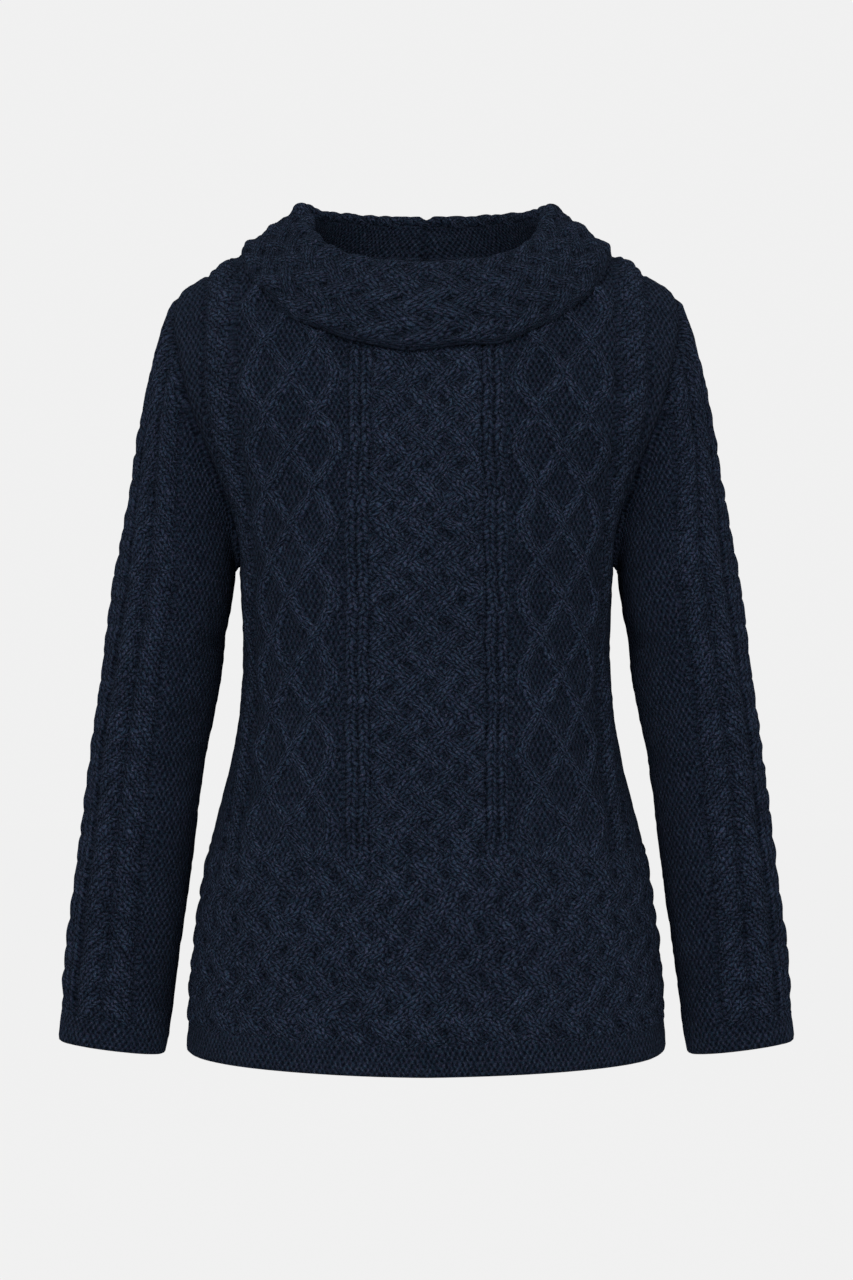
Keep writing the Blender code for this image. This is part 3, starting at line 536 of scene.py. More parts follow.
    def v_at(self, u: Array, z: Array) -> Array:
        """Find a height on the columns.

        Args:
            u: The columns.
            z: The heights.

        Returns:
            v there.
        """
        found = []
        for one, height in zip(np.atleast_1d(u), np.atleast_1d(z)):
            i = min(int(abs(one)), self.columns - 2)
            part = abs(one) - i
            heights = self.at[i, :, 2] * (1 - part) + self.at[i + 1, :, 2] * part
            row = float(np.interp(height, heights, np.arange(len(heights))))
            if row <= self.low_rows:
                found.append(row / self.low_rows * self.armpit_v)
            else:
                top = float(self.shoulder_v(np.array([one]))[0])
                share = (row / self.low_rows - 1) * self.low_rows / self.high_rows
                found.append(self.armpit_v + share * (top - self.armpit_v))
        return np.array(found)

    def armhole_line(self, count: int) -> tuple[Array, Array]:
        """Follow the armhole from the shoulder point to the armpit.

        Args:
            count: How many steps to take, which get shorter towards the armpit.

        Returns:
            u and v of each point.
        """
        u_at, v_at, long = self.armhole_curves
        share = np.linspace(0, 1, count + 1)
        run = long * (share + self.crowding * np.sin(math.pi * share) * share)
        return u_at(run), v_at(run)

    def neck_line(self, count: int) -> tuple[Array, Array]:
        """Follow the neckline from the neck point to the middle.

        Args:
            count: How many steps to take.

        Returns:
            u and v of each point.
        """
        middle_z = self.own(self.neck_z)
        turn = math.pi / 2 * (1 - np.linspace(0, 1, count + 1))
        u = self.neck_point_x / self.spread * np.sin(turn) ** (2 / self.neck_power)
        point_z = float(self.ridge(self.neck_point_x))
        z = point_z + (middle_z - point_z) * np.maximum(0, np.cos(turn)) ** (2 / self.neck_power)
        v = self.v_at(u, z)
        v[0] = self.shoulder_v(u[:1])[0]
        return u, v

    def look_along(
        self, line: tuple[Array, Array], wanted: Array, reach: float
    ) -> tuple[Array, Array, Array]:
        """Look at an edge of this half.

        Args:
            line: u and v of the edge's points.
            wanted: Where to look, in numbers of points.
            reach: How far before and after to look for the way along it.

        Returns:
            Points, ways out at them, and the ways along the edge.
        """
        numbers = range(len(line[0]))
        spots = []
        for shift in (-reach, 0.0, reach):
            at = np.clip(wanted + shift, 0, numbers[-1])
            spots.append(self.place(np.interp(at, numbers, line[0]), np.interp(at, numbers, line[1])))
        return *spots[1], spots[2][0] - spots[0][0]

    def outline(self, step: float) -> Array:
        """Make the flat outline, anticlockwise from the middle of the hem.

        Args:
            step: About how far apart the points are.

        Returns:
            (u, v) of each point.
        """
        half_hem = float(self.seam[0])
        hem = np.linspace(0, half_hem, round(half_hem / step), endpoint=False)
        seam_v = np.linspace(0, self.armpit_v, round(self.armpit_v / step), endpoint=False)
        arm_u, arm_v = self.armhole_line(round(self.armhole_length / step))
        neck_u, neck_v = self.neck_line(round(self.neck_length / step))
        top = np.linspace(arm_u[0], neck_u[0], round((arm_u[0] - neck_u[0]) / step) + 1)[1:-1]
        right = np.concatenate([
            np.stack([hem, 0 * hem], 1),
            np.stack([self.seam_u(seam_v), seam_v], 1),
            np.stack([arm_u, arm_v], 1)[::-1],
            np.stack([top, self.shoulder_v(top)], 1),
            np.stack([neck_u, neck_v], 1),
        ])
        return np.concatenate([right, (right[1:-1] * (-1, 1))[::-1]])


class Ring(NamedTuple):
    """A level ring of the sleeve."""

    z: float
    x: float
    half_width: float
    half_depth: float
    y: float


@dataclass
class SleeveForm(Form):
    """The +X sleeve as a tube, with its head running up to the armhole of both panels.

    Attributes:
        cap_start: How stiffly the head leaves the armhole.
        cap_end: How stiffly it runs into the arm.
        cap_bulge: How much it puffs out at the front and back.
        twist: How far the middle of the sleeve turns to the front.
        cuff_lift: How much the cuff rises at its outer side.
        lift_reach: How far up from the cuff that rise is felt.
        underarm_turn: How far the head turns under at the armpit.
        underarm_share: Share of the half round where it starts to.
        calm: Lengths at the cuff and the armhole where the folds fade out.
        armhole_steps: Steps in which the armhole's edge is read.
        reach: Half the length over which the arm's lean is read.
    """

    front: TorsoForm
    back: TorsoForm
    cap_start: float = 0.4
    cap_end: float = 0.68
    cap_bulge: float = 0.30
    twist: float = math.radians(26.0)
    cuff_lift: float = 5.0
    lift_reach: float = 60.0
    underarm_turn: float = math.radians(88.0)
    underarm_share: float = 0.55
    calm: tuple[float, float] = (50.0, 40.0)
    armhole_steps: int = 480
    reach: float = 8.0
    columns: int = 240
    low_rows: int = 150
    high_rows: int = 70
    rings: tuple[Ring, ...] = (
        Ring(-252, 200.3, 46.6, 50.5, 0),
        Ring(-334, 212.4, 45.6, 48.0, -2),
        Ring(-411, 223.8, 44.8, 44.5, -5),
        Ring(-488, 233.8, 44.0, 40.5, -8),
        Ring(-565, 243.0, 43.2, 37.0, -11),
        Ring(-608, 247.6, 42.2, 34.5, -13),
        Ring(-627, 250.4, 41.4, 33.5, -14),
    )
    folds: tuple[Fold, ...] = ()

    def __post_init__(self) -> None:
        """Work out the net: columns run round from the armpit by the back, outside and front."""
        names = ("x", "half_width", "half_depth", "y")
        zs = [ring.z for ring in self.rings]
        self.curves = {
            name: smooth_curve(zs, [getattr(ring, name) for ring in self.rings]) for name in names
        }
        centres = np.array([(ring.x, ring.y, ring.z) for ring in self.rings])
        self.length = float(run_of(centres)[-1])
        shares = np.linspace(-1, 1, self.columns + 1)
        levels = np.linspace(0, self.length, self.low_rows + 1)
        low = np.stack([self.ring_points(math.pi * shares + self.twist, v) for v in levels], axis=1)
        half_turn = np.linspace(0, math.pi, 25)
        self.half_rounds = np.array([run_of(self.ring_points(half_turn, v))[-1] for v in levels])
        high, self.cap = self.head_net(shares)
        self.set_tube(np.concatenate([low, high], axis=1))

    def ring_points(self, turn: Array, v: float) -> Array:
        """Give points of the tube.

        Args:
            turn: Angles from the outer line towards the front.
            v: Where along the sleeve.

        Returns:
            The points.
        """
        z = self.rings[-1].z + (self.rings[0].z - self.rings[-1].z) * v / self.length
        x, wide, deep, y = (float(curve(z)) for curve in self.curves.values())
        lean = float(self.curves["x"](z - self.reach)) - float(self.curves["x"](z + self.reach))
        along = unit(np.array([lean, 0.0, -2 * self.reach]))
        outward, backward = np.array([-along[2], 0.0, along[0]]), np.array([0, 1, 0])
        turn = np.asarray(turn, float)[..., None]
        return np.array([x, y, z]) + outward * wide * np.cos(turn) - backward * deep * np.sin(turn)

    def armhole_frames(self, shares: Array) -> tuple[Array, Array, Array]:
        """Look at the armhole's edge.

        Args:
            shares: Where, from -1 at the armpit through the back to 1.

        Returns:
            The edge, the way on across the seam and the way out.
        """
        edges, ways, outs = (np.zeros((len(shares), 3)) for _ in range(3))
        for form, chosen in ((self.front, shares >= 0), (self.back, shares < 0)):
            line = form.armhole_line(self.armhole_steps)
            wanted = np.abs(shares[chosen]) * self.armhole_steps
            edges[chosen], outs[chosen], ways[chosen] = form.look_along(line, wanted, 1.5)
        # at the armpit and the shoulder point the edge runs from panel to panel, straight back or forth
        ways[np.abs(shares) > 0.999] = (0.0, 1.0, 0.0)
        ways[np.abs(shares) < 0.004] = (0.0, -1.0, 0.0)
        across = np.cross(unit(ways), outs)
        wrong = np.where(np.abs(shares) < 0.9, across[:, 0] < 0, across[:, 2] < 0)
        across[wrong] *= -1
        across -= outs * (across * outs).sum(1, keepdims=True)
        return edges, unit(across), outs

    def head_net(self, shares: Array) -> tuple[Array, Array]:
        """Work out the lines from the tube's top ring to the armhole.

        Args:
            shares: Where the lines are, from -1 at the armpit through the back to 1.

        Returns:
            The net above the top ring, and v at the armhole.
        """
        edges, across, outs = self.armhole_frames(shares)
        under = ease((np.abs(shares) - self.underarm_share) / (1 - self.underarm_share))
        under = under[:, None] * self.underarm_turn
        start_out = outs * np.cos(under) - across * np.sin(under)
        way = outs * np.sin(under) + across * np.cos(under)
        bulge = self.cap_bulge * np.sin(math.pi * np.abs(shares)) ** 2
        way = unit(way + bulge[:, None] * start_out)
        starts = edges + across * self.front.seam_gap
        ends = self.ring_points(math.pi * shares + self.twist, self.length)
        alongs = unit(self.ring_points(math.pi * shares + self.twist, self.length - self.reach) - ends)
        t = np.linspace(0, 1, 61)[:, None]
        even = np.linspace(0, 1, self.high_rows + 1)
        net, cap = np.zeros((len(shares), self.high_rows + 1, 3)), np.zeros(len(shares))
        for i in range(len(shares)):
            long = float(np.linalg.norm(starts[i] - ends[i]))
            leaving, reaching = way[i] * self.cap_start * long, alongs[i] * self.cap_end * long
            line = hermite(starts[i], leaving, ends[i], reaching, t)[::-1]
            run = run_of(line)
            net[i] = resampled(line, run / run[-1], even)
            cap[i] = self.length + run[-1]
        return net[:, 1:], cap

    def half_round(self, v: Array) -> Array:
        """Give half the length round the sleeve."""
        return np.interp(v, np.linspace(0, self.length, self.low_rows + 1), self.half_rounds)

    def share_of(self, u: Array, v: Array) -> Array:
        """Give the share of the way round, from -1 to 1."""
        return np.clip(u / self.half_round(v), -1, 1)

    def cap_v(self, share: Array) -> Array:
        """Give v at the armhole."""
        return np.interp(share, np.linspace(-1, 1, self.columns + 1), self.cap)

    def place(self, u: Array, v: Array) -> tuple[Array, Array]:
        """Give the form with its folds.

        Args:
            u: Across.
            v: Up.

        Returns:
            Points, and ways out at them.
        """
        share, half = self.share_of(u, v), self.half_round(v)
        cap = self.cap_v(share)
        high = (v - self.length) / (cap - self.length)
        low, high = v / self.length * self.low_rows, self.low_rows + high * self.high_rows
        at, out = self.read((share + 1) / 2 * self.columns, np.where(v < self.length, low, high))
        dent = np.zeros_like(u)
        for fold in self.folds:
            dent += fold_depth([fold._replace(u=0.0)], u - fold.u / 180 * half, v, 2 * half)
        fade = ease(v / self.calm[0]) * ease((cap - v) / self.calm[1])
        turn = math.pi * share
        swell = np.sin(turn * 2 + v / 37.0) * 0.5 + np.sin(turn * 3 - v / 23.0) * 0.5
        at = at - out * ((dent - swell) * fade)[:, None]
        at[:, 2] += self.cuff_lift * np.cos(turn / 2) ** 2 * (1 - ease(v / self.lift_reach))
        return at, out

    def outline(self, step: float) -> tuple[Array, list[tuple[int, int]]]:
        """Make the flat outline, anticlockwise from one end of the cuff.

        Args:
            step: About how far apart the points are.

        Returns:
            (u, v) of each point, and the pairs of points that the underarm seam joins.
        """
        top_v, low_half = float(self.cap_v(np.array([1.0]))[0]), float(self.half_rounds[0])
        seam_v = np.linspace(0, top_v, round(top_v / step) + 1)
        cuff = np.linspace(-low_half, low_half, round(2 * low_half / step), endpoint=False)
        shares = np.linspace(1, -1, round(2 * self.front.armhole_length / step) + 1)[1:-1]
        right = np.stack([self.half_round(seam_v), seam_v], 1)
        head = np.stack([self.half_round(np.array([1e3])) * shares, self.cap_v(shares)], 1)
        left = (right * (-1, 1))[::-1][:-1]
        outline = np.concatenate([np.stack([cuff, 0 * cuff], 1), right, head, left])
        first = len(cuff)
        return outline, seam_pairs(first, len(right), len(outline))


@dataclass
class CollarForm(Form):
    """The collar's visible face: up the turned-down fall, over the roll and down the stand.

    Attributes:
        around: Length round the band.
        fall: Depth of the turned-down part.
        crest: Length over the roll.
        stand: Depth from the roll to the neckline.
        edge_x: How far out the free edge is at the side.
        lift: How far it stands off the torso at the front and back, and half as far at the side.
        bulge: How far the fall rounds out.
        fold_x: How far out the roll's middle is at the side.
        plan_power: Power of the rounded oval that the collar is, seen from above.
        wall: How far inside the torso's face the stand ends.
        neck_steps: Steps in which the neckline is read.
        swell: How high the slow swells of the fall are.
        swell_depth: v where they end.
    """

    front: TorsoForm
    back: TorsoForm
    around: float = 24 * 28.4
    fall: float = 72.0
    crest: float = 22.0
    stand: float = 46.0
    edge_x: float = 146.0
    edge_front_z: float = -79.0
    edge_back_z: float = -24.0
    lift: float = 8.0
    bulge: float = 4.5
    radius: float = 7.0
    fold_x: float = 98.5
    fold_front_y: float = -79.0
    fold_back_y: float = 68.0
    fold_side_z: float = 38.5
    fold_front_z: float = -17.5
    fold_back_z: float = 36.5
    plan_power: float = 2.2
    wall: float = 3.0
    neck_steps: int = 150
    swell: float = 0.8
    swell_depth: float = 80.0
    columns: int = 360

    def __post_init__(self) -> None:
        """Work out the net: columns run round from the middle of the back, by +X."""
        shares = np.linspace(0, 1, self.columns + 1)
        rows = np.arange(self.fall + self.crest + self.stand + 1)
        self.set_tube(np.stack([self.line_at(float(share), rows) for share in shares]))

    @property
    def up(self) -> float:
        """Give the whole depth of the band."""
        return self.fall + self.crest + self.stand

    def plan(self, share: float) -> tuple[float, TorsoForm, float]:
        """Tell where on the collar a share of the way round is.

        Args:
            share: 0 and 1 at the middle of the back.

        Returns:
            The share of a quarter turn from the side, the panel there and the side's sign.
        """
        around = (share % 1.0) * 4
        quarter = min(3, int(around))
        part = around - quarter
        from_side = 1 - part if quarter in (0, 2) else part
        form = self.front if quarter in (1, 2) else self.back
        return from_side, form, 1.0 if quarter in (0, 1) else -1.0

    def neck_frame(self, share: float) -> tuple[Array, Array, Array]:
        """Look at the neckline's edge.

        Args:
            share: Share of the way round.

        Returns:
            The edge, the way on across the seam and the way out.
        """
        from_side, form, side = self.plan(share)
        wanted = np.array([from_side * self.neck_steps])
        seen = form.look_along(form.neck_line(self.neck_steps), wanted, 0.6)
        edge, out, ahead = (values[0] for values in seen)
        ahead = unit(ahead)
        # at the sides and in the middle of the front and back the edge runs straight on
        if from_side < 0.002:
            ahead = np.array([0.0, 1.0, 0.0])
        if from_side > 0.998:
            ahead = np.array([1.0, 0.0, 0.0])
        across = np.cross(ahead, out)
        across = unit(across - out * float(across @ out))
        upwards_and_in = np.array([-edge[0], -edge[1], 60.0])
        if across @ upwards_and_in < 0:
            across = -across
        flip = np.array([side, 1.0, 1.0])
        return edge * flip, across * flip, out * flip

    def edge_at(self, share: float) -> Array:
        """Give the free edge, which stands off the torso.

        Args:
            share: Share of the way round.

        Returns:
            A point.
        """
        from_side, form, side = self.plan(share)
        low_z = self.edge_front_z if form.is_front else self.edge_back_z
        point_z = float(form.ridge(self.edge_x))
        turn = math.pi / 2 * from_side
        z = point_z + (low_z - point_z) * math.sin(turn) ** 1.25
        u = np.array([self.edge_x / form.spread * math.cos(turn) ** (2 / self.plan_power)])
        v = form.shoulder_v(u) if from_side < 1e-6 else form.v_at(u, np.array([z]))
        at, out = form.bare(u, v)
        wave = 1.2 * math.sin(22 * math.pi * share) + 0.9 * math.sin(34 * math.pi * share + 1.0)
        lift = self.lift * (0.5 + 0.5 * from_side)
        return (at[0] + out[0] * lift + np.array([0, 0, wave])) * (side, 1, 1)

    def fold_at(self, share: float) -> tuple[Array, Array]:
        """Give the middle of the roll.

        Args:
            share: Share of the way round.

        Returns:
            A point, and the level way outwards.
        """
        from_side, form, side = self.plan(share)
        turn = math.pi / 2 * from_side
        x = self.fold_x * math.cos(turn) ** (2 / self.plan_power)
        deep, low_z = self.fold_back_y, self.fold_back_z
        if form.is_front:
            deep, low_z = self.fold_front_y, self.fold_front_z
        y = deep * math.sin(turn) ** (2 / self.plan_power)
        z = self.fold_side_z + (low_z - self.fold_side_z) * math.sin(turn) ** 0.8
        slope = math.sin(turn) * self.fold_x / abs(self.fold_front_y)
        out = unit(np.array([side * math.cos(turn), -slope if form.is_front else slope, 0.0]))
        return np.array([side * x, y, z]), out

    def line_at(self, share: float, rows: Array) -> Array:
        """Follow the face from the free edge over the roll to the neckline.

        Args:
            share: Share of the way round.
            rows: The wanted v.

        Returns:
            The points.
        """
        edge = self.edge_at(share)
        middle, out = self.fold_at(share)
        up = np.array([0.0, 0.0, 1.0])
        neck, across, neck_out = self.neck_frame(share)
        turn = np.linspace(math.radians(25.0), math.pi, 13)[:, None]
        roll = middle + self.radius * (np.cos(turn) * out + np.sin(turn) * up)
        t = np.linspace(0, 1, 17)[:-1, None]
        bulge = self.bulge * (0.1 + 0.9 * self.plan(share)[0])
        fall = edge + (roll[0] - edge) * t + bulge * np.sin(math.pi * t) * unit(out + 0.6 * up)
        start = neck + across * self.front.seam_gap - neck_out * self.wall
        long = float(np.linalg.norm(start - roll[-1]))
        t = np.linspace(0, 1, 21)[1:, None]
        stand = hermite(roll[-1], -up * 0.7 * long, start, -across * 0.7 * long, t)
        points, vs = [], []
        stretches = (
            (np.concatenate([fall, roll[:1]]), 0.0, self.fall),
            (roll, self.fall, self.crest),
            (np.concatenate([roll[-1:], stand]), self.fall + self.crest, self.stand),
        )
        for part, low, size in stretches:
            run = run_of(part)
            points.append(part[:-1])
            vs.append((low + size * run / run[-1])[:-1])
        points.append(stand[-1:])
        vs.append([self.up])
        return resampled(np.concatenate(points), np.concatenate(vs), rows)

    def place(self, u: Array, v: Array) -> tuple[Array, Array]:
        """Give the form, with a slow swell of the fall.

        Args:
            u: Across.
            v: Up.

        Returns:
            Points, and ways out at them.
        """
        at, out = self.read((u / self.around) * self.columns, v)
        wide = np.sin(2 * math.pi * 5 * u / self.around + 0.7)
        narrow = 0.7 * np.sin(2 * math.pi * 8 * u / self.around)
        swell = self.swell * (wide + narrow) * np.sin(math.pi * np.clip(v / self.swell_depth, 0, 1))
        return at + out * swell[:, None], out

    def outline(self, step: float) -> tuple[Array, list[tuple[int, int]]]:
        """Make the flat outline, anticlockwise from the middle of the back.

        Args:
            step: About how far apart the points are.

        Returns:
            (u, v) of each point, and the pairs of points that meet at the middle of the back.
        """
        us = np.linspace(0, self.around, round(self.around / step), endpoint=False)
        vs = np.linspace(0, self.up, round(self.up / step) + 1)
        low = np.stack([us, 0 * us], 1)
        right = np.stack([np.full_like(vs, self.around), vs], 1)
        top = np.stack([us[1:][::-1], np.full(len(us) - 1, self.up)], 1)
        left = (right * (0, 1))[::-1][:-1]
        outline = np.concatenate([low, right, top, left])
        first = len(low)
        return outline, seam_pairs(first, len(right), len(outline))


# ---------------------------------------------------------------- stitches
class Kind(IntEnum):
    """How the stitches of a band are knitted."""

    STOCKING = 0
    PURL = 1
    MOSS = 2


Lengths = Callable[[Array, Array], Array]
Stitches = Callable[[Array, Array], tuple[Array, Array]]


@dataclass(frozen=True)
class Band:
    """A part of the knitted pattern, such as one rope, which shows where it is the highest.

    Attributes:
        kind: How it is knitted.
        height: Height above the plain cloth at (u, v), OUTSIDE where it isn't.
        stitch: Counts of stitches across and up at (u, v).
    """

    kind: Kind
    height: Lengths
    stitch: Stitches

    def above(self, low: float) -> "Band":
        """Give the same band, cut off below v = low."""
        return Band(self.kind, lambda u, v: np.where(v > low, self.height(u, v), OUTSIDE), self.stitch)

    def swollen(self, rise: float, more: float, low: float, high: float) -> "Band":
        """Give the same band, raised.

        Args:
            rise: How much everywhere.
            more: How much more at v = low.
            low: Where that starts to fade.
            high: Where it is gone.

        Returns:
            The new band.
        """
        return Band(
            self.kind,
            lambda u, v: self.height(u, v) + rise + more * ease((high - v) / (high - low)),
            self.stitch,
        )


@dataclass(frozen=True)
class Gauge:
    """Sizes of the stitches and of the raised patterns.

    Attributes:
        pebble: Size of a moss stitch.
        lump: Height of the raised patterns above their ground.
        hole: Height of that ground.
        period: Distance across from one lattice band to the next.
        band_half: Half the width of a lattice band, as a share of the period.
        band_under: How high such a band is where it passes under, as a share.
        foot: Length over which ribs and ropes rise from their foot.
        rope_lean: How much the turns of a rope lean.
        trellis_at: u of the middle of the trellis.
        trellis_swing: How far its strands swing to each side of it.
        trellis_repeat: Length of a full swing.
        trellis_start: v where the first strand is farthest out.
        strand_half: Half the width of a strand.
    """

    width: float = 7.2
    height: float = 4.4
    pebble: float = 2.15
    lump: float = 3.5
    hole: float = -0.9
    period: float = 28.4
    band_half: float = 0.44
    band_under: float = 0.46
    foot: float = 16.0
    rope_lean: float = 0.58
    trellis_at: float = 110.0
    trellis_swing: float = 36.0
    trellis_repeat: float = 232.0
    trellis_start: float = 421.0
    strand_half: float = 6.3

    def ground(self, kind: Kind, height: float, where: Lengths) -> Band:
        """Make flat knitting.

        Args:
            kind: How it is knitted.
            height: How high it lies.
            where: Above 0 where it is.

        Returns:
            The band.
        """
        wide, high = self.width, self.height
        if kind is Kind.MOSS:
            wide, high = self.pebble, 0.9 * self.pebble
        return Band(
            kind,
            lambda u, v: np.where(where(u, v) > 0, height, OUTSIDE),
            lambda u, v: (u / wide, v / high),
        )

    def lattice(self, low: float, high: float, left: float, right: float, row: float) -> list[Band]:
        """Make bands that pass over and under each other.

        Args:
            low: v of the lowest crossings.
            high: v of the points at the top.
            left: Least u.
            right: Greatest u.
            row: Distance from one row of crossings to the next.

        Returns:
            The bands that lean one way, and those that lean the other.
        """

        def family(way: int) -> Band:
            """Make the bands that lean one way.

            Args:
                way: 1 or -1.

            Returns:
                All of them, as one.
            """

            def along(u: Array, v: Array) -> Array:
                """Count bands across."""
                return u / self.period + way * (v - low) / (2 * row)

            def height(u: Array, v: Array) -> Array:
                """Raise each band, the most where it passes over.

                Args:
                    u: Across.
                    v: Up.

                Returns:
                    The heights.
                """
                a = along(u, v)
                off = np.abs(a - np.round(a))
                turn = math.pi * (v - low) / (2 * row)
                over = np.cos(turn) ** 2 if way > 0 else np.sin(turn) ** 2
                share = self.band_under + (1 - self.band_under) * over
                rise = round_bump(off / self.band_half, 0.7) * share
                rise = rise * (0.4 + 0.6 * ease((v - low + 0.6 * row) / 9.0))
                tip = high - 0.35 * row * np.sin(math.pi * u / self.period) ** 2
                inside = (v > low - 0.6 * row) & (v < tip) & (u > left) & (u < right)
                rise = self.hole + (self.lump - self.hole) * rise
                return np.where(inside & (off < self.band_half), rise, OUTSIDE)

            return Band(Kind.STOCKING, height, lambda u, v: (3.5 * along(u, v), v / (0.86 * self.height)))

        return [family(1), family(-1)]

    def rib(self, middle: float, half: float, low: float, high: float) -> Band:
        """Make one upright rib of twisted stitches.

        Args:
            middle: u of its middle.
            half: Half its width.
            low: v of its foot.
            high: v of its top.

        Returns:
            The band.
        """

        def height(u: Array, v: Array) -> Array:
            """Raise the rib.

            Args:
                u: Across.
                v: Up.

            Returns:
                The heights.
            """
            x = (u - middle) / half
            rise = 0.72 * self.lump * round_bump(x, 0.6) * (0.8 + 0.2 * ease((v - low) / self.foot))
            return np.where((np.abs(x) < 1) & (v > low) & (v < high), self.hole + rise, OUTSIDE)

        return Band(Kind.STOCKING, height, lambda u, v: ((u - middle) / (2 * half) + 0.5, v / self.height))

    def rope(self, middle: float, half: float, low: float, high: float, pitch: float, way: int) -> Band:
        """Make a twisted cable.

        Args:
            middle: u of its middle.
            half: Half its width.
            low: v of its foot.
            high: v of its top.
            pitch: Length of a turn.
            way: 1 or -1, the side that its turns lean to.

        Returns:
            The band.
        """

        def turns(u: Array, v: Array) -> Array:
            """Count turns up the rope."""
            return (v - low) / pitch - way * self.rope_lean * (u - middle) / half

        def height(u: Array, v: Array) -> Array:
            """Raise the rope, with a dip between its turns.

            Args:
                u: Across.
                v: Up.

            Returns:
                The heights.
            """
            x = (u - middle) / half
            turn = np.abs(np.sin(math.pi * turns(u, v))) ** 0.85
            rise = (self.lump + 0.5) * round_bump(x, 0.5) * (0.42 + 0.58 * turn)
            rise = rise * (0.55 + 0.45 * ease((v - low) / self.foot))
            return np.where((np.abs(x) < 1) & (v > low) & (v < high), self.hole + rise, OUTSIDE)

        def stitch(u: Array, v: Array) -> tuple[Array, Array]:
            """Count stitches across and up."""
            return 2 * turns(u, v), (0.75 * v + way * 0.8 * (u - middle)) / self.height

        return Band(Kind.STOCKING, height, stitch)

    def strand(self, side: int, number: int, low: float, high: float) -> Band:
        """Make one zigzag strand of the trellis.

        Args:
            side: 1 or -1.
            number: Which of the four strands.
            low: v of its foot.
            high: v of its top.

        Returns:
            The band.
        """

        def turn(v: Array) -> Array:
            """Give the strand's turn along its swings."""
            return 2 * math.pi * ((v - self.trellis_start) / self.trellis_repeat + number / 4)

        def across(u: Array, v: Array) -> Array:
            """Give the share of the strand's half width from its middle.

            Args:
                u: Across.
                v: Up.

            Returns:
                The shares.
            """
            swing = np.arcsin(0.96 * np.cos(turn(v))) / math.asin(0.96)
            return (u - side * (self.trellis_at + self.trellis_swing * swing)) / self.strand_half

        def height(u: Array, v: Array) -> Array:
            """Raise the strand, more where it passes over.

            Args:
                u: Across.
                v: Up.

            Returns:
                The heights.
            """
            x = across(u, v)
            over = 0.35 * np.sign(np.sin(turn(v)))
            rise = (self.lump + 0.3 + over) * round_bump(x, 0.6)
            return np.where((np.abs(x) < 1) & (v > low) & (v < high), 0.2 + rise, OUTSIDE)

        return Band(Kind.STOCKING, height, lambda u, v: (across(u, v), v / self.height))

    def ridge(self, at: float, half: float, rise: float) -> Band:
        """Make a row of bold stitches along u.

        Args:
            at: v of its middle.
            half: Half its width.
            rise: How high it is.

        Returns:
            The band.
        """

        def height(u: Array, v: Array) -> Array:
            """Raise the ridge."""
            x = (v - at) / half
            return np.where(np.abs(x) < 1, rise * round_bump(x, 0.6), OUTSIDE)

        return Band(Kind.STOCKING, height, lambda u, v: ((v - at) / half + 0.5, u / (1.3 * self.width)))


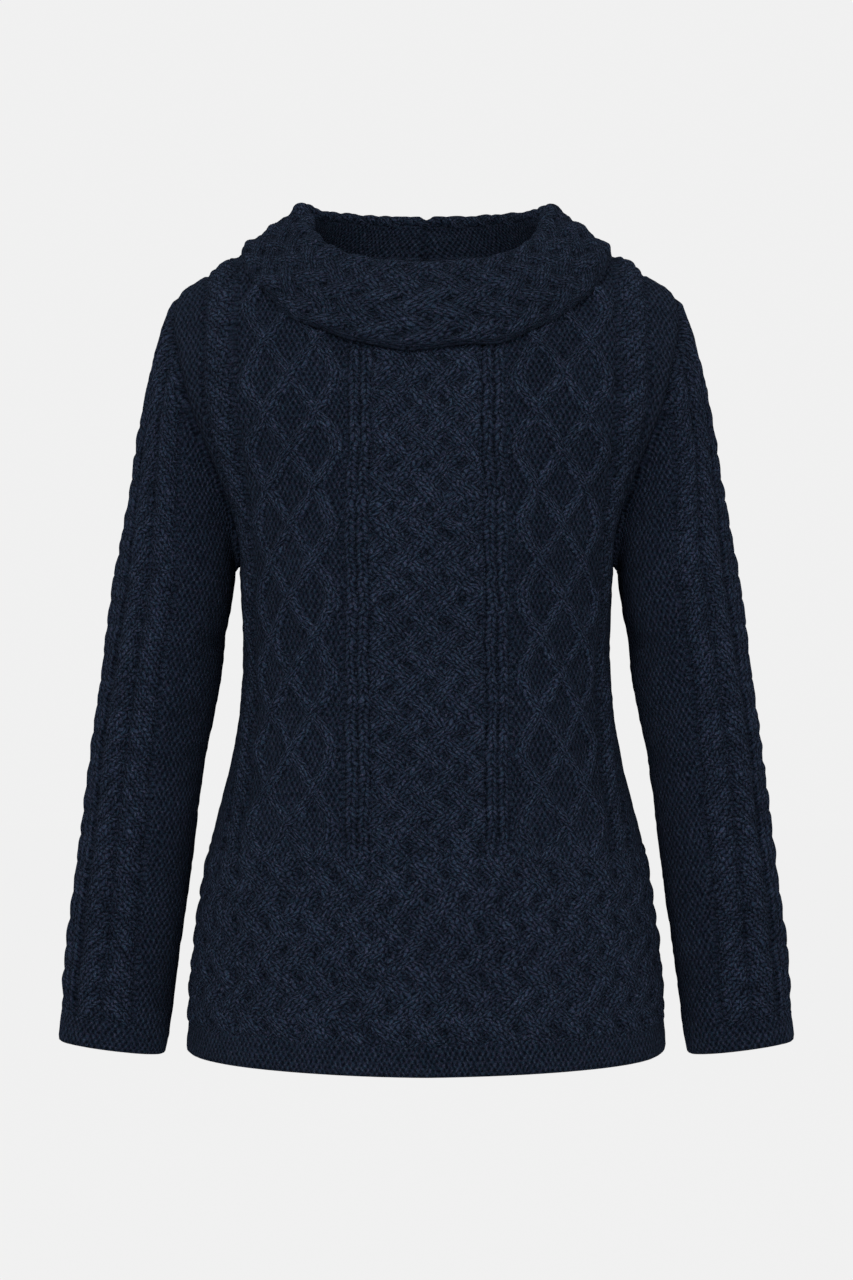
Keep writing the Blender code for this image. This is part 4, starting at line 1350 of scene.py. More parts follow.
# ---------------------------------------------------------------- cloth
@dataclass
class Cloth:
    """A closed piece of cloth: a finely knitted outer face, a plain inner one and a rounded rim.

    Attributes:
        place: Gives points of the plain outer face and ways out.
        outline: Flat outline, anticlockwise.
        bands: The knitted pattern.
        is_free: Tells which points of the outline are on an open edge.
        joined: Pairs of the outline's points that meet in a seam of the piece itself.
        step: Spacing of the outer face's points.
        inner_step: Spacing of the inner face's points.
        flip: True where the outside is on the other hand of (u, v).
        thickness: From the plain outer face to the inner one.
        seam_fade: Width along a seam where the relief fades out.
        seam_drop: How much the outer face sinks at a seam.
        edge_drop: How much it sinks at an open edge.
        edge_round: Width along an open edge where it does.
        seam_bulge: How far the rim stands out at a seam, to meet the next piece.
        rim_bulge: How far it stands out at an open edge.
        drift: How far uneven knitting moves a stitch, within a few stitches and slowly.
        swell: How much the relief swells and sinks, as a share.
        roughness: How uneven the face is beside that.
        seam_jump: Width over which a triangle lies across the piece's own seam.
        plain_stitch: Size of the inner face's stitches.
        raised_low: The height that counts as 0 in the map of raised parts, which sets the painted shade of
            the sunken parts.
        raised_span: From there to the height that counts as 1.
        seed: Picks the unevenness.
    """

    name: str
    place: Callable[[Array, Array], tuple[Array, Array]]
    outline: Array
    bands: list[Band]
    is_free: Callable[[Array, Array], Array]
    joined: list[tuple[int, int]] = field(default_factory=list)
    step: float = 2.0
    inner_step: float = 9.0
    flip: bool = False
    thickness: float = 3.0
    seam_fade: float = 5.0
    seam_drop: float = 0.9
    edge_drop: float = 0.8
    edge_round: float = 3.0
    seam_bulge: float = 0.45
    rim_bulge: float = 1.3
    drift: tuple[float, float] = (0.9, 1.5)
    swell: float = 0.22
    roughness: float = 0.4
    seam_jump: float = 60.0
    plain_stitch: tuple[float, float] = (7.2, 4.4)
    raised_low: float = -1.0
    raised_span: float = 5.0
    seed: int = 1

    def inside_by(self, u: Array, v: Array) -> Array:
        """Measure how far inside the outline points lie.

        Args:
            u: Across.
            v: Up.

        Returns:
            The distances, negative outside.
        """
        a, b = self.outline, np.roll(self.outline, -1, axis=0)
        way = b - a
        long = (way**2).sum(1)
        rise = np.where(np.abs(way[:, 1]) > 1e-12, way[:, 1], 1.0)
        found = []
        for k in range(0, len(u), 3000):
            x, y = u[k : k + 3000, None], v[k : k + 3000, None]
            share = (((x - a[:, 0]) * way[:, 0] + (y - a[:, 1]) * way[:, 1]) / long).clip(0, 1)
            off_u, off_v = a[:, 0] + share * way[:, 0] - x, a[:, 1] + share * way[:, 1] - y
            near = (off_u**2 + off_v**2).min(1)
            crosses = (a[:, 1] > y) != (b[:, 1] > y)
            odd = (crosses & (x < a[:, 0] + (y - a[:, 1]) / rise * way[:, 0])).sum(1) % 2
            found.append(np.sqrt(near) * np.where(odd == 1, 1.0, -1.0))
        return np.concatenate(found)

    def net(self, step: float) -> tuple[Array, Array, Array]:
        """Fill the outline with triangles.

        Args:
            step: Spacing of the points inside it.

        Returns:
            Corners (u, v), triples of them, and how far inside the outline each lies.
        """
        low, high = self.outline.min(0), self.outline.max(0)
        vs = np.arange(low[1] + 0.5 * step, high[1], step * 0.866)
        us = np.arange(low[0], high[0], step)
        grid_u = us[None, :] + (np.arange(len(vs)) % 2)[:, None] * step / 2
        u, v = grid_u.ravel(), np.repeat(vs, len(us))
        deep = self.inside_by(u, v)
        kept = deep > 0.62 * step
        corners = np.concatenate([self.outline, np.stack([u[kept], v[kept]], 1)])
        spots = [Vector(corner) for corner in corners.tolist()]
        result = delaunay_2d_cdt(spots, [], [list(range(len(self.outline)))], 1, 1e-5)
        if len(result[0]) != len(corners):
            raise ValueError(f"{self.name}: the net has {len(result[0])} corners and not {len(corners)}")
        deep = np.concatenate([np.zeros(len(self.outline)), deep[kept]])
        return corners, np.array([tuple(face) for face in result[2]]), deep

    def warped(self, u: Array, v: Array) -> tuple[Array, Array]:
        """Move points to where uneven knitting puts them.

        Args:
            u: Across.
            v: Up.

        Returns:
            The new u and v.
        """
        fine, slow = self.drift
        off = [Unevenness(self.seed + k, cell).at(u, v) for k, cell in enumerate((6.5, 6.5, 24.0, 24.0))]
        return u + fine * off[0] + slow * off[2], v + fine * off[1] + slow * off[3]

    def relief(self, u: Array, v: Array) -> tuple[Array, Array]:
        """Read the pattern.

        Args:
            u: Across, warped.
            v: Up, warped.

        Returns:
            Its height, and the number of the band on top.
        """
        heights = np.stack([band.height(u, v) for band in self.bands])
        swell = 1 + self.swell * Unevenness(self.seed + 7, 13.0).at(u, v)
        rough = self.roughness * Unevenness(self.seed + 8, 5.5).at(u, v)
        return heights.max(0) * swell + rough, heights.argmax(0)

    def outer_height(self, corners: Array, deep: Array) -> Array:
        """Give the relief of the outer face, which fades at seams and sinks at edges.

        Args:
            corners: (u, v) of each corner.
            deep: How far inside the outline each lies.

        Returns:
            The heights.
        """
        u, v = corners.T
        height, _ = self.relief(*self.warped(u, v))
        free = self.is_free(u, v)
        fade = np.where(free, 1.0, ease(deep / self.seam_fade))
        height = height * fade - self.seam_drop * (1 - fade)
        return np.where(free, height - self.edge_drop * (1 - ease(deep / self.edge_round)), height)

    def rim(self, at: Array, out: Array, outer: Array, inner: Array) -> Array:
        """Make the points that round off the edge between the two faces.

        Args:
            at: Points of the plain outer face, with the outline's first.
            out: Ways out of it there.
            outer: Points of the knitted outer face.
            inner: Points of the inner face.

        Returns:
            A point for each of the outline's.
        """
        count = len(self.outline)
        ahead = at[:count] - np.roll(at[:count], 1, axis=0)
        away = np.cross(unit(ahead), out[:count]) * (-1 if self.flip else 1)
        bulge = np.where(self.is_free(*self.outline.T), self.rim_bulge, self.seam_bulge)
        return (outer[:count] + inner[:count]) / 2 + away * bulge[:, None]

    def rim_faces(self, start_inner: int, start_rim: int) -> Array:
        """Join the rim to both faces, but not where the piece's own seam closes it.

        Args:
            start_inner: Number of the inner face's first point.
            start_rim: Number of the rim's first point.

        Returns:
            Triples of points.
        """
        ring = np.arange(len(self.outline))
        after = np.roll(ring, -1)
        on_seam = np.isin(ring, self.joined)
        is_open = ~(on_seam & on_seam[after])
        first, second = ring[is_open], after[is_open]
        strips = []
        for top, low in ((0, start_rim), (start_rim, start_inner)):
            strips.append(np.stack([top + second, top + first, low + first], 1))
            strips.append(np.stack([top + second, low + first, low + second], 1))
        return np.concatenate(strips)

    def build(self, material: bpy.types.Material) -> bpy.types.Object:
        """Make the object.

        Args:
            material: Its material.

        Returns:
            The object.
        """
        corners, faces, deep = self.net(self.step)
        height = self.outer_height(corners, deep)
        at, out = self.place(*corners.T)
        outer = at + out * height[:, None]
        inner_corners, inner_faces, _ = self.net(self.inner_step)
        inner_at, inner_out = self.place(*inner_corners.T)
        inner = inner_at - inner_out * self.thickness
        points = np.concatenate([outer, inner, self.rim(at, out, outer, inner)])
        start_inner, start_rim = len(outer), len(outer) + len(inner)
        rim_faces = self.rim_faces(start_inner, start_rim)
        triangles = np.concatenate([faces, inner_faces[:, ::-1] + start_inner, rim_faces])
        if self.flip:
            triangles = triangles[:, ::-1]
        target = np.arange(len(points))
        for right, left in self.joined:
            for start in (0, start_inner, start_rim):
                target[start + right] = start + left
        flat = np.concatenate([corners, inner_corners, self.outline])
        return self.to_object(points, target[triangles], flat, len(faces), height, material)

    def stitch_map(self, triangles: Array, flat: Array, outer_count: int) -> tuple[Array, Array]:
        """Count the stitches over the triangles, each by the band that it lies in.

        Args:
            triangles: Triples of corners.
            flat: (u, v) of each corner.
            outer_count: How many triangles the outer face has, which come first.

        Returns:
            Counts across and up at each triangle's corners, and each triangle's kind of knitting.
        """
        at = flat[triangles]
        if self.joined:
            wide = at[:, :, 0].max(1) - at[:, :, 0].min(1) > self.seam_jump
            across = at[wide, :, 0]
            span = self.outline[:, 0].max() - self.outline[:, 0].min()
            at[wide, :, 0] = np.where(across < self.outline[:, 0].mean(), across + span, across)
        at = np.stack(self.warped(at[:, :, 0].ravel(), at[:, :, 1].ravel()), 1).reshape(at.shape)
        _, owner = self.relief(*at.mean(1).T)
        is_outer = np.arange(len(triangles)) < outer_count
        counts = at / self.plain_stitch
        kind = np.full(len(triangles), float(Kind.PURL))
        for number, band in enumerate(self.bands):
            mine = (owner == number) & is_outer
            counts[mine] = np.stack(band.stitch(at[mine, :, 0], at[mine, :, 1]), 2)
            kind[mine] = float(band.kind)
        return counts, kind

    def to_object(
        self,
        points: Array,
        triangles: Array,
        flat: Array,
        outer_count: int,
        height: Array,
        material: bpy.types.Material,
    ) -> bpy.types.Object:
        """Turn arrays into a mesh object with its stitch map.

        Args:
            points: Corners in millimetres.
            triangles: Triples of them.
            flat: (u, v) of each corner.
            outer_count: How many triangles the outer face has, which come first.
            height: Relief at the outer face's corners, which come first.
            material: Its material.

        Returns:
            The object.
        """
        mesh = bpy.data.meshes.new(self.name)
        mesh.from_pydata((points * MM).tolist(), [], triangles.tolist())
        counts, kind = self.stitch_map(triangles, flat, outer_count)
        layer = mesh.uv_layers.new(name="stitch")
        layer.data.foreach_set("uv", counts.ravel().astype(np.float32))
        # map of raised parts: the material paints shade into the sunken parts by it
        raised = np.zeros(len(points))
        raised[: len(height)] = np.clip((height - self.raised_low) / self.raised_span, 0, 1)
        for name, domain, values in (("kind", "FACE", kind), ("raised", "POINT", raised)):
            attribute = mesh.attributes.new(name, "FLOAT", domain)
            attribute.data.foreach_set("value", values.astype(np.float32))
        mesh.shade_smooth()
        mesh.materials.append(material)
        piece = bpy.data.objects.new(self.name, mesh)
        bpy.context.scene.collection.objects.link(piece)
        return piece

    @property
    def area(self) -> float:
        """Give the outline's flat area, in square metres."""
        a, b = self.outline, np.roll(self.outline, -1, axis=0)
        return abs(float((a[:, 0] * b[:, 1] - b[:, 0] * a[:, 1]).sum() / 2)) * MM * MM

    @property
    def flat(self) -> tuple[float, float]:
        """Give the width and length that hold the outline, in metres."""
        size = (self.outline.max(0) - self.outline.min(0)) * MM
        return float(size[0]), float(size[1])


# ---------------------------------------------------------------- materials
Colour = tuple[float, float, float]
Socket = bpy.types.NodeSocket


@dataclass(frozen=True)
class WoolFinish:
    """Colours of one piece's wool, linear, and how it takes light.

    Attributes:
        deep: The darkest fibres.
        main: Most of the fibres.
        pale: The palest fibres.
        sheen: How much the fuzz catches light.
        fuzz: Colour of that light.
        bump: Strength of the stitches' relief.
        bump_depth: Its depth, in metres.
        fibre: Share of single fibres in the relief.
    """

    name: str
    deep: Colour
    main: Colour
    pale: Colour
    roughness: float = 0.93
    sheen: float = 0.02
    fuzz: Colour = (0.42, 0.52, 0.72)
    bump: float = 1.0
    bump_depth: float = 0.0018
    fibre: float = 0.28


class NodeSheet:
    """Adds nodes to a tree in columns and joins them."""

    def __init__(self, tree: bpy.types.NodeTree) -> None:
        """Start on an empty tree."""
        self.tree = tree
        self.count = 0

    def add(self, kind: str, **settings: object) -> bpy.types.Node:
        """Add a node.

        Args:
            kind: Its type.
            **settings: Values of its properties.

        Returns:
            The node.
        """
        node = self.tree.nodes.new(kind)
        node.location = (self.count // 6 * 200, -(self.count % 6) * 190)
        self.count += 1
        for name, value in settings.items():
            setattr(node, name, value)
        return node

    def join(self, source: Socket | float | tuple[float, ...], target: Socket) -> None:
        """Link a socket, or set a constant.

        Args:
            source: The socket or constant.
            target: Where it goes.
        """
        if isinstance(source, Socket):
            self.tree.links.new(source, target)
        else:
            target.default_value = source

    def math(self, operation: str, *values: Socket | float) -> Socket:
        """Add a Math node.

        Args:
            operation: What it does.
            *values: Its inputs, in order.

        Returns:
            Its output.
        """
        node = self.add("ShaderNodeMath", operation=operation)
        for value, socket in zip(values, node.inputs):
            self.join(value, socket)
        return node.outputs[0]

    def mix(self, factor: Socket | float, first: Socket | float, second: Socket | float) -> Socket:
        """Add a Mix node for numbers.

        Args:
            factor: Share of the second.
            first: A number.
            second: Another.

        Returns:
            Its output.
        """
        node = self.add("ShaderNodeMix", data_type="FLOAT")
        self.join(factor, node.inputs[0])
        self.join(first, node.inputs[2])
        self.join(second, node.inputs[3])
        return node.outputs[0]

    def mix_colour(
        self, factor: Socket | float, first: Socket | Colour, second: Socket | Colour, blend: str = "MIX"
    ) -> Socket:
        """Add a Mix node for colours.

        Args:
            factor: Share of the second.
            first: A colour.
            second: Another.
            blend: How they are mixed.

        Returns:
            Its output.
        """
        node = self.add("ShaderNodeMix", data_type="RGBA", blend_type=blend)
        self.join(factor, node.inputs[0])
        for value, socket in ((first, node.inputs[6]), (second, node.inputs[7])):
            self.join(value if isinstance(value, Socket) else (*value, 1.0), socket)
        return node.outputs[2]

    def noise(self, where: Socket, scale: float, detail: float, roughness: float = 0.5) -> bpy.types.Node:
        """Add a Noise Texture node.

        Args:
            where: Where it is read.
            scale: Its scale.
            detail: Its detail.
            roughness: Its roughness.

        Returns:
            The node.
        """
        node = self.add("ShaderNodeTexNoise")
        self.join(where, node.inputs["Vector"])
        self.join(scale, node.inputs["Scale"])
        self.join(detail, node.inputs["Detail"])
        self.join(roughness, node.inputs["Roughness"])
        return node

    def stretch(self, value: Socket, low: float, high: float) -> Socket:
        """Spread low to high over 0 to 1.

        Args:
            value: What is spread.
            low: What becomes 0.
            high: What becomes 1.

        Returns:
            The result.
        """
        node = self.add("ShaderNodeMapRange")
        self.join(value, node.inputs["Value"])
        self.join(low, node.inputs["From Min"])
        self.join(high, node.inputs["From Max"])
        return node.outputs[0]


def new_group(
    name: str, inputs: Sequence[tuple[str, str]], outputs: Sequence[tuple[str, str]]
) -> bpy.types.NodeTree:
    """Make a node group with named sockets.

    Args:
        name: Its name.
        inputs: Name and type of each input.
        outputs: Name and type of each output.

    Returns:
        The empty group.
    """
    tree = bpy.data.node_groups.new(name, "ShaderNodeTree")
    for way, sockets in (("INPUT", inputs), ("OUTPUT", outputs)):
        for label, kind in sockets:
            tree.interface.new_socket(label, in_out=way, socket_type=kind)
    return tree


def grain(sheet: NodeSheet, x: Socket, r: Socket, wide: float, long: float) -> Socket:
    """Give the height of an oval grain.

    Args:
        sheet: Where the nodes go.
        x: -1 to 1 across it.
        r: -1 to 1 along it.
        wide: How fast it falls off across.
        long: How fast it falls off along.

    Returns:
        The height, 0 to 1.
    """
    across = sheet.math("MULTIPLY", sheet.math("MULTIPLY", x, x), wide)
    along = sheet.math("MULTIPLY", sheet.math("MULTIPLY", r, r), long)
    left = sheet.math("SUBTRACT", sheet.math("SUBTRACT", 1.0, across), along)
    return sheet.math("SQRT", sheet.math("MAXIMUM", left, 0.0))


def centred(sheet: NodeSheet, value: Socket) -> Socket:
    """Give the part after the point, spread over -1 to 1."""
    return sheet.math("MULTIPLY_ADD", sheet.math("FRACT", value), 2.0, -1.0)


def knit_group() -> bpy.types.NodeTree:
    """Make the group that turns stitch counts and the kind of knitting into a height, 0 to 1."""
    tree = new_group(
        "Knit relief",
        [("Stitch", "NodeSocketVector"), ("Kind", "NodeSocketFloat")],
        [("Height", "NodeSocketFloat"), ("Shade", "NodeSocketFloat")],
    )
    sheet = NodeSheet(tree)
    source, result = sheet.add("NodeGroupInput"), sheet.add("NodeGroupOutput")
    uneven = sheet.noise(source.outputs["Stitch"], 0.62, 2.0)
    shift = sheet.add("ShaderNodeVectorMath", operation="MULTIPLY_ADD")
    sheet.join(uneven.outputs["Color"], shift.inputs[0])
    sheet.join((0.9, 1.5, 0.0), shift.inputs[1])
    sheet.join(source.outputs["Stitch"], shift.inputs[2])
    parts = sheet.add("ShaderNodeSeparateXYZ")
    sheet.join(shift.outputs[0], parts.inputs[0])
    s, t = parts.outputs[0], parts.outputs[1]
    x = centred(sheet, s)
    side = sheet.math("ABSOLUTE", x)
    leg = sheet.math("MULTIPLY_ADD", side, 2.0, -1.0)
    leg_row = sheet.math("MULTIPLY_ADD", side, -0.85, t)
    stocking = grain(sheet, leg, centred(sheet, leg_row), 0.93, 0.88)
    wave = sheet.math("COSINE", sheet.math("MULTIPLY", s, 2 * math.pi))
    bar_row = sheet.math("MULTIPLY_ADD", wave, 0.16, t)
    purl = sheet.math("MULTIPLY", grain(sheet, x, centred(sheet, bar_row), 0.30, 0.95), 0.9)
    wave_s = sheet.math("SINE", sheet.math("MULTIPLY", s, math.pi))
    wave_t = sheet.math("SINE", sheet.math("MULTIPLY", t, math.pi / 2))
    chequer = sheet.math("MULTIPLY_ADD", sheet.math("MULTIPLY", wave_s, wave_t), 0.56, 0.52)
    moss = sheet.math("MINIMUM", sheet.math("MAXIMUM", chequer, 0.0), 1.0)
    height = sheet.mix(sheet.math("GREATER_THAN", source.outputs["Kind"], 0.5), stocking, purl)
    height = sheet.mix(sheet.math("GREATER_THAN", source.outputs["Kind"], 1.5), height, moss)
    cell = sheet.add("ShaderNodeCombineXYZ")
    sheet.join(sheet.math("FLOOR", sheet.math("MULTIPLY", s, 2.0)), cell.inputs[0])
    sheet.join(sheet.math("FLOOR", leg_row), cell.inputs[1])
    sheet.join(source.outputs["Kind"], cell.inputs[2])
    chance = sheet.add("ShaderNodeTexWhiteNoise", noise_dimensions="3D")
    sheet.join(cell.outputs[0], chance.inputs["Vector"])
    sheet.join(height, result.inputs["Height"])
    sheet.join(chance.outputs["Value"], result.inputs["Shade"])
    return tree


def heather_group() -> bpy.types.NodeTree:
    """Make the group that mixes three shades of wool into a heathered colour, with painted shade where the
    knitting dips.
    """
    colours = [(label, "NodeSocketColor") for label in ("Deep", "Main", "Pale")]
    masks = [(label, "NodeSocketFloat") for label in ("Height", "Raised", "Shade")]
    results = [("Colour", "NodeSocketColor"), ("Fibre", "NodeSocketFloat")]
    tree = new_group("Heather", colours + masks, results)
    sheet = NodeSheet(tree)
    source, result = sheet.add("NodeGroupInput"), sheet.add("NodeGroupOutput")
    where = sheet.add("ShaderNodeTexCoord").outputs["Object"]
    flecks, cloudy, pale, warm, fibre = (
        sheet.noise(where, scale, detail, 0.65).outputs["Fac"]
        for scale, detail in ((520.0, 3.0), (26.0, 2.0), (900.0, 2.0), (640.0, 1.0), (1500.0, 2.0))
    )
    flecks = sheet.stretch(flecks, 0.36, 0.66)
    base = sheet.mix_colour(flecks, source.outputs["Deep"], source.outputs["Main"])
    pale = sheet.math("MULTIPLY", sheet.stretch(pale, 0.50, 0.72), 0.9)
    base = sheet.mix_colour(pale, base, source.outputs["Pale"])
    tint = sheet.mix_colour(sheet.stretch(warm, 0.40, 0.60), (0.84, 1.08, 0.99), (1.20, 0.97, 1.02))
    base = sheet.mix_colour(1.0, base, tint, "MULTIPLY")
    cloudy = sheet.mix(sheet.stretch(cloudy, 0.3, 0.7), 0.90, 1.10)
    tone = sheet.math("MULTIPLY", cloudy, sheet.mix(source.outputs["Shade"], 0.71, 1.28))
    # painted shade between the stitch legs, and painted light on the legs' tops
    painted_hollow_shade = sheet.mix(sheet.stretch(source.outputs["Height"], 0.05, 0.85), 0.29, 1.24)
    # painted shade in the sunken parts of the pattern, and a little painted light on its raised parts
    painted_groove_shade = sheet.mix(sheet.stretch(source.outputs["Raised"], 0.0, 0.70), 0.58, 1.11)
    # random tone of the stitches and the cloth, times that painted shade and light
    shade = sheet.math("MULTIPLY", tone, sheet.math("MULTIPLY", painted_hollow_shade, painted_groove_shade))
    tone_and_shade_grey = sheet.add("ShaderNodeCombineXYZ")
    for socket in tone_and_shade_grey.inputs:
        sheet.join(shade, socket)
    sheet.join(sheet.mix_colour(1.0, base, tone_and_shade_grey.outputs[0], "MULTIPLY"), result.inputs["Colour"])
    sheet.join(fibre, result.inputs["Fibre"])
    return tree


class Wool:
    """Makes the wool materials, which share the knit and heather groups."""

    def __init__(self) -> None:
        """Make the shared groups."""
        self.knit = knit_group()
        self.heather = heather_group()

    def material(self, finish: WoolFinish) -> bpy.types.Material:
        """Make one material.

        Args:
            finish: Its colours and how it takes light.

        Returns:
            The material.
        """
        material = bpy.data.materials.new(finish.name)
        material.use_nodes = True
        tree = material.node_tree
        tree.nodes.clear()
        sheet = NodeSheet(tree)
        stitch = sheet.add("ShaderNodeUVMap", uv_map="stitch")
        kind = sheet.add("ShaderNodeAttribute", attribute_name="kind")
        # map of raised parts, for the painted shade of the sunken parts
        raised = sheet.add("ShaderNodeAttribute", attribute_name="raised")
        knit = sheet.add("ShaderNodeGroup", node_tree=self.knit)
        heather = sheet.add("ShaderNodeGroup", node_tree=self.heather)
        sheet.join(stitch.outputs["UV"], knit.inputs["Stitch"])
        sheet.join(kind.outputs["Fac"], knit.inputs["Kind"])
        sheet.join(knit.outputs["Height"], heather.inputs["Height"])
        sheet.join(raised.outputs["Fac"], heather.inputs["Raised"])
        sheet.join(knit.outputs["Shade"], heather.inputs["Shade"])
        for label, colour in (("Deep", finish.deep), ("Main", finish.main), ("Pale", finish.pale)):
            sheet.join((*colour, 1.0), heather.inputs[label])
        fuzzy = sheet.math("MULTIPLY_ADD", heather.outputs["Fibre"], finish.fibre, knit.outputs["Height"])
        bump = sheet.add("ShaderNodeBump")
        sheet.join(finish.bump, bump.inputs["Strength"])
        sheet.join(finish.bump_depth, bump.inputs["Distance"])
        sheet.join(fuzzy, bump.inputs["Height"])
        shader = sheet.add("ShaderNodeBsdfPrincipled")
        output = sheet.add("ShaderNodeOutputMaterial")
        sheet.join(heather.outputs["Colour"], shader.inputs["Base Color"])
        sheet.join(bump.outputs["Normal"], shader.inputs["Normal"])
        sheet.join(finish.roughness, shader.inputs["Roughness"])
        sheet.join(0.0, shader.inputs["Specular IOR Level"])
        sheet.join(finish.sheen, shader.inputs["Sheen Weight"])
        sheet.join(0.55, shader.inputs["Sheen Roughness"])
        sheet.join((*finish.fuzz, 1.0), shader.inputs["Sheen Tint"])
        sheet.join(shader.outputs["BSDF"], output.inputs["Surface"])
        return material


# ---------------------------------------------------------------- pieces
def between(inner: float, outer: float) -> Lengths:
    """Make a function that is above 0 where |u| is between two values."""
    return lambda u, v: np.minimum(np.abs(u) - inner, outer - np.abs(u))


def everywhere(u: Array, v: Array) -> Array:
    """Be above 0 at every point."""
    return np.ones_like(u)


@dataclass
class Sweater:
    """The whole garment: two panels, two sleeves and the collar.

    Attributes:
        panel_step: Spacing of the points of the front and back.
        sleeve_step: The same of a sleeve.
        collar_step: The same of the collar.
        hem_band: v where the plain edge at the hem ends.
        cuff_band: The same at the cuff.
        lattice_top: v where the deep lattice above the hem ends.
        overlap: How far the patterns above it reach down into it.
        top: A v above every piece.
        lattice_half: Half the width of the lattice up the middle.
        panel_ribs: u of the ribs beside that lattice.
        panel_rope: u of the rope near each side.
        panel_moss: From |u| to |u| of each strip of moss stitch.
        sleeve_ribs: u of the ribs along the sleeve's middle.
        sleeve_ropes: u of the ropes beside them.
        sleeve_moss: |u| where the sleeve's moss stitch begins.
        open_below: v below which the outline of a panel or sleeve is an open edge.
        collar_open_below: The same of the collar.
    """

    wool: Wool
    gauge: Gauge = field(default_factory=Gauge)
    panel_step: float = 2.05
    sleeve_step: float = 1.9
    collar_step: float = 1.6
    quick_steps: tuple[float, float, float] = (3.2, 3.0, 2.4)
    hem_band: float = 20.0
    cuff_band: float = 19.0
    lattice_top: float = 172.0
    overlap: float = 7.0
    top: float = 700.0
    lattice_half: float = 43.5
    rib_half: float = 4.6
    rope_half: float = 10.5
    panel_ribs: tuple[float, ...] = (49.0, 58.8)
    panel_rope: float = 170.0
    panel_moss: tuple[tuple[float, float], ...] = ((66.0, 154.0), (184.0, 400.0))
    sleeve_ribs: tuple[float, ...] = (-4.6, 4.6)
    sleeve_ropes: tuple[float, ...] = (24.0, 46.0)
    sleeve_moss: float = 60.0
    open_below: float = 25.0
    collar_open_below: float = 40.0
    body: WoolFinish = WoolFinish(
        "body_wool",
        deep=(0.0039, 0.0061, 0.0122),
        main=(0.0090, 0.0140, 0.0268),
        pale=(0.0235, 0.0275, 0.0425),
    )
    # a slightly darker copy of the body's wool: painted shade on the sleeves
    arm: WoolFinish = WoolFinish(
        "sleeve_wool_painted_shade",
        deep=(0.0038, 0.0059, 0.0119),
        main=(0.0088, 0.0136, 0.0263),
        pale=(0.0224, 0.0261, 0.0408),
    )
    # a darker copy of the body's wool: painted shade on the collar
    neck: WoolFinish = WoolFinish(
        "collar_wool_painted_shade",
        deep=(0.0036, 0.0056, 0.0111),
        main=(0.0081, 0.0127, 0.0240),
        pale=(0.0208, 0.0243, 0.0378),
    )
    front_folds: tuple[Fold, ...] = (
        Fold(168, 318, 120, 26, 0.55, 4.5),
        Fold(-166, 300, 135, 28, -0.60, 4.0),
        Fold(150, 232, 110, 30, -0.45, 3.5),
        Fold(-158, 212, 95, 26, 0.50, 3.8),
        Fold(92, 470, 120, 30, -0.30, 3.0),
        Fold(-96, 455, 105, 32, 0.35, 3.0),
    )
    back_folds: tuple[Fold, ...] = (
        Fold(150, 300, 140, 30, 0.60, 5.0),
        Fold(-146, 286, 120, 28, -0.55, 4.4),
        Fold(70, 236, 130, 34, -0.30, 4.0),
        Fold(-82, 222, 110, 30, 0.35, 4.6),
        Fold(20, 320, 120, 30, 0.10, 3.4),
    )
    sleeve_folds: tuple[Fold, ...] = (  # here u is an angle round the sleeve, in degrees
        Fold(110, 268, 44, 30, 0.30, 2.8),
        Fold(126, 240, 40, 30, 0.40, 2.2),
        Fold(75, 218, 44, 27.5, -0.30, 3.0),
        Fold(-120, 262, 44, 37.5, -0.35, 4.2),
        Fold(-80, 226, 48, 30, 0.30, 3.4),
        Fold(128, 330, 40, 30, 0.55, 4.0),
        Fold(-135, 335, 40, 33, -0.50, 4.4),
        Fold(60, 96, 36, 25, 0.25, 2.6),
        Fold(-95, 84, 40, 30, -0.25, 3.0),
    )

    def __post_init__(self) -> None:
        """Work out the forms."""
        self.front_form = TorsoForm(True, folds=self.front_folds)
        self.back_form = TorsoForm(False, folds=self.back_folds)
        self.sleeve_form = SleeveForm(self.front_form, self.back_form, folds=self.sleeve_folds)
        self.collar_form = CollarForm(self.front_form, self.back_form)

    def edge_bands(self, at: float) -> list[Band]:
        """Make a plain edge, and the ground that the patterns above it lie on.

        Args:
            at: v where the edge ends.

        Returns:
            The two bands.
        """
        gauge = self.gauge
        return [
            gauge.ground(Kind.MOSS, 1.1, lambda u, v: at + 3.0 - v),
            gauge.ground(Kind.PURL, gauge.hole, everywhere),
        ]

    def panel_bands(self) -> list[Band]:
        """Make the pattern of the front and back."""
        gauge, low, top = self.gauge, self.lattice_top - self.overlap, self.top
        half = self.lattice_half
        bands = self.edge_bands(self.hem_band)
        bands += gauge.lattice(self.hem_band + 12, self.lattice_top, left=-260, right=260, row=20.0)
        bands += gauge.lattice(self.lattice_top + 4.0, top, left=-half, right=half, row=17.0)
        for side in (-1, 1):
            bands += [gauge.rib(side * middle, self.rib_half, low, top) for middle in self.panel_ribs]
            bands += [gauge.strand(side, number, low, top) for number in range(4)]
            middle = side * self.panel_rope
            bands.append(gauge.rope(middle, self.rope_half, low, top, pitch=22.0, way=side))
        for inner, outer in self.panel_moss:
            moss = gauge.ground(Kind.MOSS, 0.0, between(inner, outer))
            bands.append(moss.above(low).swollen(0.4, 1.0, low, low + 70.0))
        return bands

